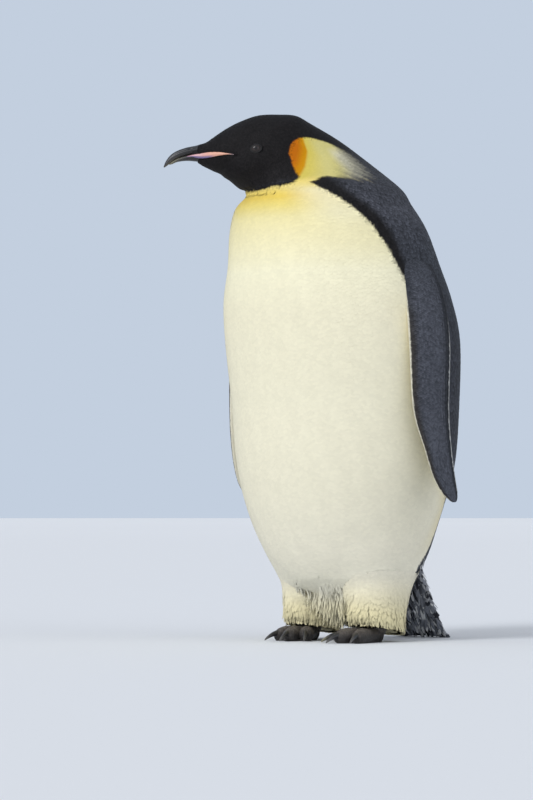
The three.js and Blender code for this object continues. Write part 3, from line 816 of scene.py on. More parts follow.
@dataclass
class Markings:
    """The colours of the plumage, the same for skin and coat, as formulas of place and angle on the body.

    Place is the section's number along the body, from 0 at the vent to 24 under the bill, and the angle
    runs from 0 at the nape to 180 degrees in front, alike on both sides.
    """

    # The angle where the white front ends, at some places.
    front_edge: Sequence[tuple[float, float]] = (
        (0, 82), (2.2, 81), (3.3, 76), (4, 67), (4.6, 58), (5, 54), (5.35, 60), (5.7, 72), (6, 79),
        (7, 91), (8.1, 97), (9, 101), (10, 106), (10.5, 109.5), (11, 113.5), (12, 118.5), (12.5, 122.5),
        (12.9, 125), (13.3, 120), (13.5, 117),
    )
    # How wide the black band along that edge is, in degrees.
    band: Sequence[tuple[float, float]] = (
        (4, 0.5), (8, 1.6), (9, 2.4), (10, 4.5), (11, 7), (12.5, 9), (13.3, 14),
    )
    # The place where the black hood ends, at some angles.
    hood: Sequence[tuple[float, float]] = (
        (116, 13.54), (128, 13.39), (141, 13.29), (153, 13.29), (165, 13.11), (180, 13.02),
    )
    # The outline of the ear patch: angle and place.
    patch: Sequence[tuple[float, float]] = (
        (115, 13.56), (107.5, 13.76), (97, 14.1), (82, 14.58), (71, 14.76), (60.5, 14.78), (53, 14.66),
        (45.5, 14.4), (41.5, 14.13), (46, 13.9), (56, 13.68), (72, 13.44), (92, 13.34), (98, 13.44),
        (108.5, 13.37), (120, 13.28), (128, 13.36),
    )
    patch_rise: float = 30.0  # one place is as long as this many degrees there
    # The place where orange gives way to yellow, at some angles.
    orange: Sequence[tuple[float, float]] = (
        (55, 14.76), (63, 14.55), (72, 14.29), (93, 13.89), (112, 13.62), (125, 13.46),
    )
    # The colour of the front, from the vent up to the yellow of the breast.
    pale: Sequence[tuple[float, str]] = (
        (0, "#E2DAB6"), (1.7, "#E8E0BE"), (2.4, "#EAE6D3"), (4, "#EAE5D1"), (5.5, "#E8E3CC"),
        (7, "#EAE5CC"), (8.5, "#EEE8CC"), (9.7, "#F1ECCD"), (10.5, "#EFE7BC"), (11.3, "#ECE1A8"),
        (11.9, "#E9D67E"), (12.4, "#E6CA5E"),
        (12.8, "#E7CF6C"), (13.2, "#E8D584"), (13.6, "#E6CF74"),
    )
    pale_side: str = "#ECE7C8"  # the front beside the band, which is less yellow
    # The colour of the back; its lighter grey round place 11.5, at the shoulders, is painted highlight.
    grey: Sequence[tuple[float, str]] = (
        (0, "#3A3D46"), (4, "#3A3C43"), (8, "#2F3138"), (10, "#35383F"), (11.5, "#40424A"),
        (13, "#3A3C43"), (14, "#2A2B2F"),
    )
    far_outside: float = -99.0  # stands for the distance of places nowhere near the patch

    def __post_init__(self) -> None:
        """Smooths the patch's outline to four points for each given one."""
        corners = np.array(self.patch, float)
        closed = np.vstack([corners[-2:], corners, corners[:2]])
        places = 2 + np.arange(4 * len(corners)) / 4
        self.outline = through(closed, places) * [1, self.patch_rise]

    def along(self, table: Sequence[tuple[float, str]], place: Array) -> Array:
        """Colours from a table of places and hex colours, blended in between."""
        places, codes = zip(*table)
        colours = np.array([linear(code) for code in codes])
        return np.stack([np.interp(place, places, colours[:, k]) for k in range(3)], -1)

    def shares(self, place: Array, angle: Array, stray: Array) -> tuple[Array, Array]:
        """How pale each place is, and how much of its dark is black.

        Args:
            place: places along the body.
            angle: angles from the nape, in degrees, 0 to 180.
            stray: -1 to 1, how far a feather breaks out of its field; 0 on skin.

        Returns:
            The share of pale, and the share of black in the dark.
        """
        over_edge = angle - read(self.front_edge, place) + stray * 0.8
        under_hood = read(self.hood, angle) - place + stray * 0.012
        front = ease(-0.5, 0.5, over_edge) * ease(-0.015, 0.015, under_hood)
        rear = ease(14.25, 13.75, place) * ease(96, 80, angle)
        soft = 0.5 + 10 * rear
        near = (np.abs(place - 14) < 1.2) & (np.abs(angle - 85) < 52)
        inside = np.full(place.shape, self.far_outside)
        spots = np.stack([angle[near], place[near] * self.patch_rise], -1)
        inside[near] = signed_distance(spots, self.outline)
        patch = ease(-soft, soft, inside + stray * (0.45 + 2.2 * rear))
        width = read(self.band, place)
        band = ease(2.1 * width, 0.9 * width, -over_edge) * ease(13.6, 13.4, place)
        nape = ease(13.5, 14.3, place + 0.5 * ease(70, 100, angle) + stray * 0.1)
        return np.maximum(front, patch), np.maximum(band, nape)

    def body(self, t: Array, angle: Array, stray: Array | float = 0.0) -> Array:
        """The body's colour.

        Args:
            t: along the body, 0 to 1.
            angle: round it, in radians.
            stray: -1 to 1 for a feather that breaks out of its field.

        Returns:
            Linear colours.
        """
        place = t * LAST_PLACE
        turned = np.degrees(np.abs((angle + np.pi) % TURN - np.pi))
        stray = np.broadcast_to(stray, place.shape)
        pale_share, black_share = self.shares(place, turned, stray)
        beside = ease(160, 126, turned) * ease(10.2, 11.6, place) * ease(13.3, 12.7, place)
        pale = mix(self.along(self.pale, place), linear(self.pale_side), 0.75 * beside)
        to_orange = place - read(self.orange, turned)
        ear = layered(
            linear("#DCD8BE"),
            ("#D2C983", ease(-0.95, -0.55, to_orange)),
            ("#D3C25C", ease(-0.45, -0.03, to_orange)),
            ("#C98D00", ease(-0.04, 0.03, to_orange)),
            ("#BE6800", ease(0.0, 0.3, to_orange)),
        )
        on_patch = ease(13.3, 13.62, place + 0.3 * ease(112, 80, turned))
        pale = mix(pale, ear, on_patch)
        beside_edge = ease(22, 4, turned - read(self.front_edge, place))
        flank = ease(3.5, 5.0, place) * ease(9.3, 8.0, place) * beside_edge
        pale = mix(pale, linear("#EADDB0"), 0.6 * flank)
        dark = mix(self.along(self.grey, place), linear("#151314"), black_share)
        return mix(dark, pale, pale_share)

    def wing(self, t: Array, angle: Array, stray: Array | float = 0.0) -> Array:
        """A wing's colour: slate outside, pale inside with a dark rim, and a thin pale trailing edge."""
        turned = np.degrees((angle + np.pi) % TURN - np.pi) + np.asarray(stray) * 2
        slate = layered(
            linear("#32353C"),
            # painted highlight: lighter slate at the shoulder, on the front of the wing's top
            ("#4B4E57", ease(8, 50, turned) * ease(0, 0.25, t)),
            ("#2B2D33", ease(118, 140, turned)),
            ("#353231", ease(50, 12, turned) * ease(0.2, 0.35, t)),
            ("#151416", ease(24, 8, turned + 130 * t) * ease(-40, -20, turned)),
        )
        inside = ease(5, 1, turned) * ease(-172, -168, turned) * ease(0.985, 0.95, t)
        pale = layered(linear("#DEDAC8"), ("#A8A69E", ease(0.75, 0.95, t)))
        edge = ease(154, 158, turned) * ease(176, 171, turned) * ease(0.27, 0.36, t) * ease(0.86, 0.72, t)
        return mix(mix(slate, pale, inside), linear("#DCDDDC"), edge)

    def leg(self, t: Array, angle: Array, stray: Array | float = 0.0) -> Array:
        """A leg's colour: cream down, yellower towards the foot and grey behind."""
        behind = ease(0.88, 0.99, np.sin(angle) + 0.05 * np.asarray(stray)) * ease(0.85, 0.6, t)
        return layered(linear("#EAE5D2"), ("#E6DCB2", ease(0.4, 0.8, t)), ("#6A6C70", behind))

    def tail(self, t: Array, angle: Array, stray: Array | float = 0.0) -> Array:
        """The tail's colour: blue-grey, darker down the blades, mottled by what breaks out of it."""
        stray = np.asarray(stray) + 0 * t
        return layered(
            linear("#8E9199"),
            ("#7F838C", ease(0.3, 0.8, t)),
            ("#303238", ease(-0.2, -0.7, stray)),
            ("#E2E3E4", ease(0.3, 0.8, stray)),
        )


# ---- feathers


@dataclass(frozen=True)
class Vane:
    """The outline of one kind of feather: fractions of its length, and of its width there."""

    rows: Sequence[tuple[float, float]] = ((0.0, 0.5), (0.5, 0.98), (0.87, 0.8))
    rise: float = 3.4  # how quickly it comes up from the skin

    @property
    def corners(self) -> int:
        """How many points one feather has."""
        return 3 * len(self.rows) + 1

    def faces(self) -> tuple[Array, Array]:
        """The quads and triangles of one closed vane.

        Each row has a left, a middle and a right point, and the last point is the tip. The middle stands
        above the flat underside, which runs from the left edge to the right.
        """
        quads = []
        for k in range(len(self.rows) - 1):
            left, middle, right = 3 * k, 3 * k + 1, 3 * k + 2
            quads += [(left, middle, middle + 3, left + 3), (middle, right, right + 3, middle + 3)]
            quads.append((left, left + 3, right + 3, right))
        left = 3 * len(self.rows) - 3
        tip = left + 3
        triangles = [(0, 2, 1), (left, left + 1, tip), (left + 1, left + 2, tip), (left, tip, left + 2)]
        return np.array(quads), np.array(triangles)


CONTOUR = Vane()
BLADE = Vane(((0.0, 0.7), (0.25, 0.9), (0.5, 1.0), (0.75, 0.95), (0.93, 0.6)), 1.5)
LOCK = Vane(((0.0, 0.8), (0.4, 1.0), (0.75, 0.62)), 2.6)


@dataclass
class Growth:
    """How the feathers of one tract grow; lengths in millimetres, one number for all or one for each."""

    length: Array | float
    width: Array | float
    depth: Array | float  # how far under the outer surface they root
    lift: Array | float = 0.0  # how far above it their tips stand
    thick: Array | float = 0.45  # how far the shaft stands above the edges
    sway: Array | float = 0.0  # how far their tips bend sideways
    yaw: Array | float = 0.0  # degrees that they turn from the lie of the coat
    hang: Array | float = 0.0  # 1 where they hang straight down, 0 where they lie along the surface
    softness: Array | float = 0.5  # 0 where vanes melt into one surface, 1 where each shows its own relief
    stray: Array | float = 0.0  # -1 to 1, how far they break out of the markings' fields
    level: Array | float = 1.0  # how much lighter or darker than the markings they are
    root: Array | float = 0.66  # and, where they are dark, how much more so at the root
    tip: Array | float = 1.9  # and at the tip
    vane: Vane = CONTOUR

    def of(self, chosen: Array) -> "Growth":
        """The growth of the chosen ones among the feathers, with a number of each kind for each of them."""
        names = [item.name for item in fields(self) if item.name != "vane"]
        full = (np.broadcast_to(np.asarray(getattr(self, name), float), chosen.shape) for name in names)
        return replace(self, **{name: values[chosen] for name, values in zip(names, full)})


def onward(t: Array, angle: Array, along: Array, around: Array, way: Array) -> tuple[Array, Array]:
    """The t and angle a small way on over a surface.

    The way is w = along dt + around da, so that its products with along and around give two
    equations for dt and da.

    Args:
        t: where the way starts along the surface.
        angle: and round it.
        along: change of the point for one unit of t.
        around: change of the point for one radian.
        way: the way gone, in the surface.

    Returns:
        The t and angle where it ends.
    """
    g11, g22, g12 = (along**2).sum(-1), (around**2).sum(-1), (along * around).sum(-1)
    w1, w2 = (way * along).sum(-1), (way * around).sum(-1)
    scale = g11 * g22 - g12**2 + 1e-9
    return np.clip(t + (w1 * g22 - w2 * g12) / scale, 0, 1), angle + (w2 * g11 - w1 * g12) / scale


Paint = Callable[[Array, Array, Array], Array]
LEAST_CROWN = 0.06  # the shaft stands at least this far above the line between the feather's edges
FLOOR_GAP = 0.4  # and every corner this far above the floor
LIFT_POWER = 1.5  # how late along a feather its tip lifts off, as a power of the share of its length
FALL_POWER = 1.6  # the same for hanging down
FALL_SHADING = 0.85  # how far the shading of a hanging tip forgets the slope of the surface below
OWN_SHADING = (0.9, 0.6)  # between these likenesses a feather's own shading takes over from the surface's
HANGING = 0.3  # feathers that hang more than this stand free of any crease
PALE_LIMIT = 1.08  # how far a pale feather may be lighter than the markings
TIP_FADE = 7  # how close to its tip a dark feather turns lighter, as a power of the share of its length


def darkness(tint: Array) -> Array:
    """From 0 on white feathers to 1 on slate and black ones."""
    return ease(0.3, 0.08, tint.max(-1))


def face_normals(points: Array, faces: Array) -> Array:
    """The normals of faces with these corners of each feather, twice as long as the face is large."""
    corners = points[:, faces]
    return np.cross(corners[:, :, 2] - corners[:, :, 0], corners[:, :, -1] - corners[:, :, 1])


def facing_out(points: Array, out: Array, faces: Array) -> Array:
    """True for the feathers of which no face is turned over against the way out, as in a crease."""
    return ((face_normals(points, faces) * out[:, faces[:, 0]]).sum(-1) > 0).all(1)


@dataclass
class Corners:
    """Where feathers' corners lie on a surface: a row for each feather, a column for each corner."""

    t: Array
    angle: Array
    lie: Array  # the way that the feather points there
    beside: Array  # the way to its left edge
    share: Array  # how far along the feather each column is
    across: Array  # 1 at the left edge, 0 on the shaft and -1 at the right edge


def lay_out(surface: Surface, t: Array, angle: Array, growth: Growth) -> Corners:
    """Walks over the surface from each root, row by row, the way the coat lies there.

    Args:
        surface: what the feathers grow on.
        t: the roots' places along the surface.
        angle: the roots' angles.
        growth: their sizes, with a number for each feather.

    Returns:
        The corners, the edges standing beside the shaft.
    """
    turn = np.radians(growth.yaw)[:, None]

    def course(t: Array, angle: Array) -> tuple[Array, Array, Array, Array]:
        """How the surface runs at some places, and the ways along and beside a feather there."""
        _, along, around, normal = surface.slopes(t, angle)
        lie = surface.lie(t, along, normal)
        lie = lie * np.cos(turn) + np.cross(normal, lie) * np.sin(turn)
        return along, around, lie, np.cross(normal, lie)

    gone = 0.0
    columns = []
    rows = [(share, width, (1.0, 0.0, -1.0)) for share, width in growth.vane.rows]
    for share, width, sides in (*rows, (1.0, 0.0, (0.0,))):
        for _ in range(2 if share > gone else 0):
            along, around, lie, _ = course(t, angle)
            t, angle = onward(t, angle, along, around, lie * (growth.length * (share - gone) / 2)[:, None])
        gone = share
        along, around, lie, beside = course(t, angle)
        for side in sides:
            reach = growth.width * (width / 2) * side + growth.sway * share**2
            corner = onward(t, angle, along, around, beside * reach[:, None])
            columns.append((*corner, lie, beside, share, side))
    *places, shares, across = zip(*columns)
    return Corners(*(np.stack(values, 1) for values in places), np.array(shares), np.array(across))


def grow(surface: Surface, t: Array, angle: Array, growth: Growth, paint: Paint, place: Array) -> Shape:
    """Feathers on a surface, from their roots.

    A part s of its length from the root, a feather lies depth (1 - s)^rise - lift s^1.5 below the
    surface. Its normals follow the surface more than the feather, so that a coat shades as one soft
    whole, but where the two are far apart, as in a crease, they are the feather's own.

    Args:
        surface: what they grow on.
        t: the roots' places along the surface.
        angle: the roots' angles.
        growth: their sizes.
        paint: gives the colours for places, angles and strays.
        place: each root's place in the bake map, in rows of two.

    Returns:
        One shape of all the feathers.
    """
    vane = growth.vane
    growth = growth.of(np.ones(len(t), bool))
    corner = lay_out(surface, t, angle, growth)
    shares, across = corner.share, corner.across
    names = ("length", "width", "depth", "lift", "thick", "hang", "level", "root", "tip")
    length, width, depth, lift, thick, hang, level, root, tip = (getattr(growth, n)[:, None] for n in names)

    points, _, _, out = surface.slopes(corner.t, corner.angle)
    below = depth * (1 - shares) ** vane.rise - lift * shares**LIFT_POWER + thick * across**2
    points = points - out * below[..., None]
    fallen = hang * length * shares**FALL_POWER
    points = points + fallen[..., None] * (-UP - corner.lie)
    shaft = 3 * np.arange(len(vane.rows)) + 1
    sunk = (((points[:, shaft - 1] + points[:, shaft + 1]) / 2 - points[:, shaft]) * out[:, shaft]).sum(-1)
    points[:, shaft] += out[:, shaft] * np.maximum(sunk + LEAST_CROWN, 0)[..., None]
    points[..., 2] = np.maximum(points[..., 2], FLOOR_GAP)

    climb = vane.rise * depth * (1 - shares) ** (vane.rise - 1)
    climb = (climb + LIFT_POWER * lift * shares ** (LIFT_POWER - 1)) / length
    fall = 4 * thick / width * across
    relief = corner.beside * fall[..., None] - corner.lie * climb[..., None]
    out[..., 2] *= 1 - FALL_SHADING * hang * shares
    normals = unit(out + growth.softness[:, None, None] * relief)
    quads, triangles = vane.faces()
    tops = quads.reshape(-1, 3, 4)[:, :2].reshape(-1, 4), triangles[1:3]
    real = np.zeros_like(points)
    for faces in tops:
        for face, normal in zip(faces, np.moveaxis(unit(face_normals(points, faces)), 1, 0)):
            real[:, face] += normal[:, None]
    real = unit(real)
    normals = unit(mix(normals, real, ease(*OWN_SHADING, (normals * real).sum(-1))))

    tint = paint(corner.t, corner.angle, np.broadcast_to(growth.stray[:, None], corner.t.shape))
    worn = root + (tip - root) * shares**TIP_FADE
    dark = darkness(tint)
    light = dark * level * worn + (1 - dark) * np.minimum(level, PALE_LIMIT)
    tint = tint * light[..., None]

    kept = (growth.hang > HANGING) | (facing_out(points, out, tops[0]) & facing_out(points, out, tops[1]))
    points, normals, tint, place = points[kept], normals[kept], tint[kept], place[kept]
    offsets = np.arange(len(points))[:, None, None] * vane.corners
    over = np.stack([0.5 + across / 2, shares], -1)
    patch = place[:, None, :] + (over - 0.5)[None] * BAKE_PATCH
    return Shape(
        points.reshape(-1, 3),
        (quads[None] + offsets).reshape(-1, 4),
        (triangles[None] + offsets).reshape(-1, 3),
        tint=tint.reshape(-1, 3),
        maps={"vane": np.tile(over, (len(points), 1)), "OFBake": patch.reshape(-1, 2)},
        normals=normals.reshape(-1, 3),
    )


def scatter(
    surface: Surface, spacing: Callable[[Array], Array], seed: int, span: tuple[float, float] = (0.0, 1.0)
) -> tuple[Array, Array]:
    """Feather roots spread evenly over a surface, as scales are on a pine cone.

    The surface's area, divided by the square of the spacing, is summed along t and then round each ring.
    Root i lies where the first sum reaches i + 1/2, and at i golden parts of the second, so that
    neighbours are about one spacing apart everywhere. Each then strays by up to a seventh of that.

    Args:
        surface: what they lie on.
        spacing: the distance between neighbours in millimetres, from t.
        seed: for the straying.
        span: the first and last t.

    Returns:
        The roots' t and angle.
    """
    rows, columns = 420, 240
    edges = np.linspace(*span, rows + 1)
    middle_t, middle_angle = grid((edges[1:] + edges[:-1]) / 2, columns)
    middle_angle = middle_angle + np.pi / columns
    _, along, around, _ = surface.slopes(middle_t, middle_angle)
    cell = np.linalg.norm(np.cross(along, around), axis=-1) * (edges[1] - edges[0]) * TURN / columns
    wanted = cell / spacing(middle_t) ** 2
    total = np.concatenate([[0], np.cumsum(wanted.sum(1))])
    count = int(total[-1])
    row = np.interp(np.arange(count) + 0.5, total, np.arange(rows + 1))
    turned = np.cumsum(wanted, axis=1) / wanted.sum(1, keepdims=True)
    steps = np.hstack([np.zeros((rows, 1)), turned]) + np.arange(rows)[:, None]
    part = np.clip((np.arange(count) * GOLDEN) % 1, 1e-6, 1 - 1e-6)
    column = np.interp(np.floor(row) + part, steps.ravel(), np.tile(np.arange(columns + 1), rows))
    t = np.interp(row, np.arange(rows + 1), edges)
    angle = column * TURN / columns
    draw = np.random.default_rng(seed)
    _, along, around, _ = surface.slopes(t, angle)
    stray = 0.14 * spacing(t)
    t = t + draw.uniform(-1, 1, count) * stray / np.linalg.norm(along, axis=-1)
    angle = angle + draw.uniform(-1, 1, count) * stray / np.linalg.norm(around, axis=-1)
    return np.clip(t, *span), angle


# ---- the skin


# How deep the coat is in millimetres: by place along the body, and on wings, legs and tail.
COAT_DEPTH = ((0, 5.0), (10, 4.6), (12, 4.2), (13.4, 3.6), (14.5, 3.0), (16, 2.6), (22, 2.0), (24, 1.2))
WING_DEPTH = 1.6
LEG_DEPTH = 7.0
TAIL_DEPTH = 5.0


def coat_depth(t: Array) -> Array:
    """How deep the body's coat is, from t along it."""
    return read(COAT_DEPTH, t * LAST_PLACE)


def even_rings(surface: Surface, spacing: Callable[[Array], Array]) -> Array:
    """Values of t whose rings are a spacing apart, measured along four lines of the surface."""
    t = np.linspace(0, 1, 900)
    lines = surface.at(*grid(t, 4))
    gaps = np.linalg.norm(np.diff(lines, axis=0), axis=-1).mean(1) / spacing((t[1:] + t[:-1]) / 2)
    total = np.concatenate([[0], np.cumsum(gaps)])
    return np.interp(np.linspace(0, total[-1], int(total[-1]) + 2), total, t)


@dataclass
class FaceSide:
    """Feels how far out the left side of the face or bill stands, seen square from its side."""

    body: Body
    surface: Surface
    first: float = 0.0  # the t it starts at
    steps: tuple[int, int] = (300, 240)
    least_tilt: float = 0.15  # places turned further away from the side than this aren't felt
    reach: float = 3.0  # nothing is felt further than this from every place

    def __post_init__(self) -> None:
        """Takes places all over the surface's left half, with their normals."""
        t, angle = np.meshgrid(
            np.linspace(self.first, 1, self.steps[0]), np.linspace(0, np.pi, self.steps[1]), indexing="ij"
        )
        points, _, _, normal = self.surface.slopes(t.ravel(), angle.ravel())
        turned = np.stack([normal @ self.body.ahead, normal[:, 2], normal @ self.body.left], -1)
        seen = turned[:, 2] > self.least_tilt
        self.places = self.body.to_head(points)[seen]
        self.tilts = turned[seen]

    def out(self, forward: Array, height: Array) -> Array:
        """The nearest felt place's height over the head's plane, carried on along its slope."""
        wanted = np.stack([forward.ravel(), height.ravel()], -1)
        gap = ((wanted[:, None] - self.places[None, :, :2]) ** 2).sum(-1)
        near = gap.argmin(1)
        place, tilt = self.places[near], self.tilts[near]
        slope = ((wanted - place[:, :2]) * tilt[:, :2]).sum(-1) / tilt[:, 2]
        found = np.where(gap.min(1) < self.reach**2, place[:, 2] - slope, 0)
        return found.reshape(forward.shape)


@dataclass
class EyeSocket:
    """Where an eye lies: its middle and radius, and the opening between the lids."""

    body: Body
    side: Side
    opening: tuple[float, float] = (7.0, 4.7)  # half the opening's length and height
    lid: tuple[float, float] = (12.4, 9.8)  # half the lids' length and height
    tilt: float = -10.0  # degrees that the opening's front end is turned down
    droop: float = -0.9  # how far the upper lid has come down
    bareness: float = 0.12  # how scaly the lids are

    def __post_init__(self) -> None:
        """Reads the eyeball's middle and radius from its node."""
        low, high = (np.array(corner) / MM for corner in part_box(f"eye_{self.side.word}"))
        self.middle = (low + high) / 2
        self.radius = (high[2] - low[2]) / 2
        self.forward, self.height, self.left = self.body.to_head(self.middle[None])[0]

    def place(self, x: Array, y: Array, out: Array) -> Array:
        """A point x forward and y up from the eye's middle, and out from the head's own plane."""
        return self.body.in_head(self.forward + x, self.height + y, out * self.side.value)

    def lids(self, face: FaceSide, colour: str) -> Shape:
        """The ring of the two lids.

        Its cross-section starts under the rim, comes up over the rim, dips at a fold, bulges, and runs down
        into the skin. Between the rim and the skin its height passes from the ball's to the face's.
        """
        around = np.arange(96) * TURN / 96
        # Share of the way from rim to skin, and height over the mixed surface.
        section = np.array([
            (0.02, -1.6), (0.0, -0.2), (0.02, 0.4), (0.12, 0.75), (0.24, 0.7), (0.34, 0.35), (0.44, 0.55),
            (0.56, 0.65), (0.7, 0.3), (0.84, -0.6), (1.0, -2.6), (1.0, -6.5), (0.5, -7.5), (0.2, -5.0),
        ])
        share, rise = section[:, None, 0], section[:, None, 1]
        rim_x = self.opening[0] * np.cos(around) * np.abs(np.cos(around)) ** 0.12
        rim_y = self.opening[1] * np.sin(around) + self.droop * ease(-0.2, 0.7, np.sin(around))
        turn = np.radians(self.tilt)
        x = rim_x + (self.lid[0] * np.cos(around) - rim_x) * share
        y = rim_y + (self.lid[1] * np.sin(around) - rim_y) * share
        x, y = x * np.cos(turn) - y * np.sin(turn), x * np.sin(turn) + y * np.cos(turn)
        ball = abs(self.left) + np.sqrt(np.maximum(self.radius**2 - x**2 - y**2, 4))
        skin = face.out(self.forward + x, self.height + y)
        on_ball = self.radius > np.hypot(x, y)
        level = np.maximum(ball + (skin - ball) * ease(0.0, 0.75, share), np.where(on_ball, ball, 0))
        shape = loft_ring(self.place(x, y, level + rise))
        inward = np.broadcast_to(share, x.shape).ravel()
        tone = layered(linear(colour), ("#141314", ease(0.12, 0.6, inward)))
        shape.marks["bare"] = np.full(len(shape.points), self.bareness)
        return shape.with_tint(tone)


def loft_ring(rows: Array) -> Shape:
    """A closed ring from cross-sections that join up both ways, faces outwards."""
    rings, sides = rows.shape[:2]
    k, j = np.meshgrid(np.arange(rings), np.arange(sides), indexing="ij")
    next_k, next_j = (k + 1) % rings, (j + 1) % sides
    quads = np.stack([k * sides + j, k * sides + next_j, next_k * sides + next_j, next_k * sides + j], -1)
    return Shape(rows.reshape(-1, 3), quads.reshape(-1, 4), np.zeros((0, 3), int)).turned_out()


@dataclass(frozen=True)
class Toe:
    """One toe: the name of its node, degrees that it spreads outward, and its length."""

    name: str
    spread: float
    length: float


@dataclass
class Foot:
    """A bare foot: three toes with scutes on top, webs between them, and the ankle."""

    stance: Stance
    toes: tuple[Toe, ...] = (Toe("inner", -22, 76), Toe("middle", 0, 92), Toe("outer", 23, 80))
    radii: tuple[float, ...] = (18, 17, 15, 15.2, 11.5)  # from the heel to the claw
    start: float = 9.0  # a toe starts this far behind the leg's middle
    axis: float = 0.78  # the axis stands this many radii above the floor
    scute: float = 5.2  # length of a scute
    web_reach: float = 0.92
    web_hollow: float = 0.14
    web_thickness: tuple[float, float] = (9.0, 4.0)  # at the heel and at the front edge
    ankle: tuple[float, ...] = (4, 21, 25, 4, 56)  # behind, half-width, half-length, bottom, top
    floor_gap: float = 0.02  # how far above the floor its underside is

    def on_toe(self, toe: Toe, along: Array, left: Array, height: Array) -> Array:
        """A place on a toe: along it from the leg's middle, out to its left, and its height."""
        ahead, beside = facing(-(self.stance.turn + self.stance.side.value * toe.spread))
        base = np.array([self.stance.x, self.stance.y + AXIS_Y, 0.0])
        return placed(base, (ahead, beside), along, left, height)

    def toe(self, toe: Toe) -> Shape:
        """A toe: round sections pressed flat on the floor, ringed on top by scutes, with a blunt end."""
        t, angle = grid(np.concatenate([np.linspace(0, 0.88, 60), np.linspace(0.89, 1, 12)]), 36)
        radius = through(np.array(self.radii)[:, None], t * (len(self.radii) - 1))[..., 0]
        along = t * toe.length - (1 - t) * self.start
        scutes = np.abs(np.sin(np.pi * along / self.scute)) ** 0.6 - 0.7
        radius = radius * (0.985 + 0.04 * scutes * ease(0.1, 0.8, np.sin(angle)) * ease(0.15, 0.3, t))
        blunt = np.sqrt(1 - 0.75 * np.clip((t - 0.88) / 0.12, 0, 1) ** 2)
        height = self.axis * radius + np.sin(angle) * radius * blunt
        rows = self.on_toe(toe, along, np.cos(angle) * radius * blunt, np.maximum(height, self.floor_gap))
        return loft(rows)

    def web(self, first: Toe, second: Toe) -> Shape:
        """The web between two toes: from the heel to a hollow front edge, thinning forwards."""
        heel = self.on_toe(first, 0.0, 0.0, 0.0)
        tip_a = self.on_toe(first, first.length * self.web_reach, 0.0, 0.0)
        tip_b = self.on_toe(second, second.length * self.web_reach, 0.0, 0.0)
        hollow = (tip_a + tip_b) / 2 * (1 - self.web_hollow) + heel * self.web_hollow
        reach, angle = grid(np.linspace(0.05, 1, 30), 40)
        over = ((1 - np.cos(angle)) / 2)[..., None]
        edge = tip_a * (1 - over) ** 2 + hollow * 2 * over * (1 - over) + tip_b * over**2
        half = (self.web_thickness[0] + (self.web_thickness[1] - self.web_thickness[0]) * reach) / 2
        rows = heel + (edge - heel) * reach[..., None]
        rows[..., 2] = self.floor_gap + half * (1 + np.sin(angle))
        return loft(rows)

    def heel(self) -> Shape:
        """The ankle: an upright oval that the leg's feathers come down over."""
        behind, width, length, bottom, top = self.ankle
        ahead, _ = facing(-self.stance.turn)
        middle = np.array([self.stance.x, self.stance.y + AXIS_Y, (top + bottom) / 2]) - ahead * behind
        polar, angle = grid(np.linspace(0.06, np.pi - 0.06, 30), 40)
        flat = np.sin(polar)
        oval = np.stack([width * flat * np.cos(angle), length * flat * np.sin(angle)], -1)
        return loft(middle + np.concatenate([oval, (top - bottom) / 2 * np.cos(polar)[..., None]], -1))

    def tint(self, points: Array) -> Array:
        """Dark brown, painted lighter towards the top where light falls and darker underneath as painted
        shade, clouded in tone.
        """
        # painted light and shade: the colour grows lighter with height over the floor
        base = mix(linear("#2E2A28"), linear("#655E58"), ease(8, 30, points[:, 2]))
        return base * (1 + 0.25 * ripple(points, 12, 5))[:, None]


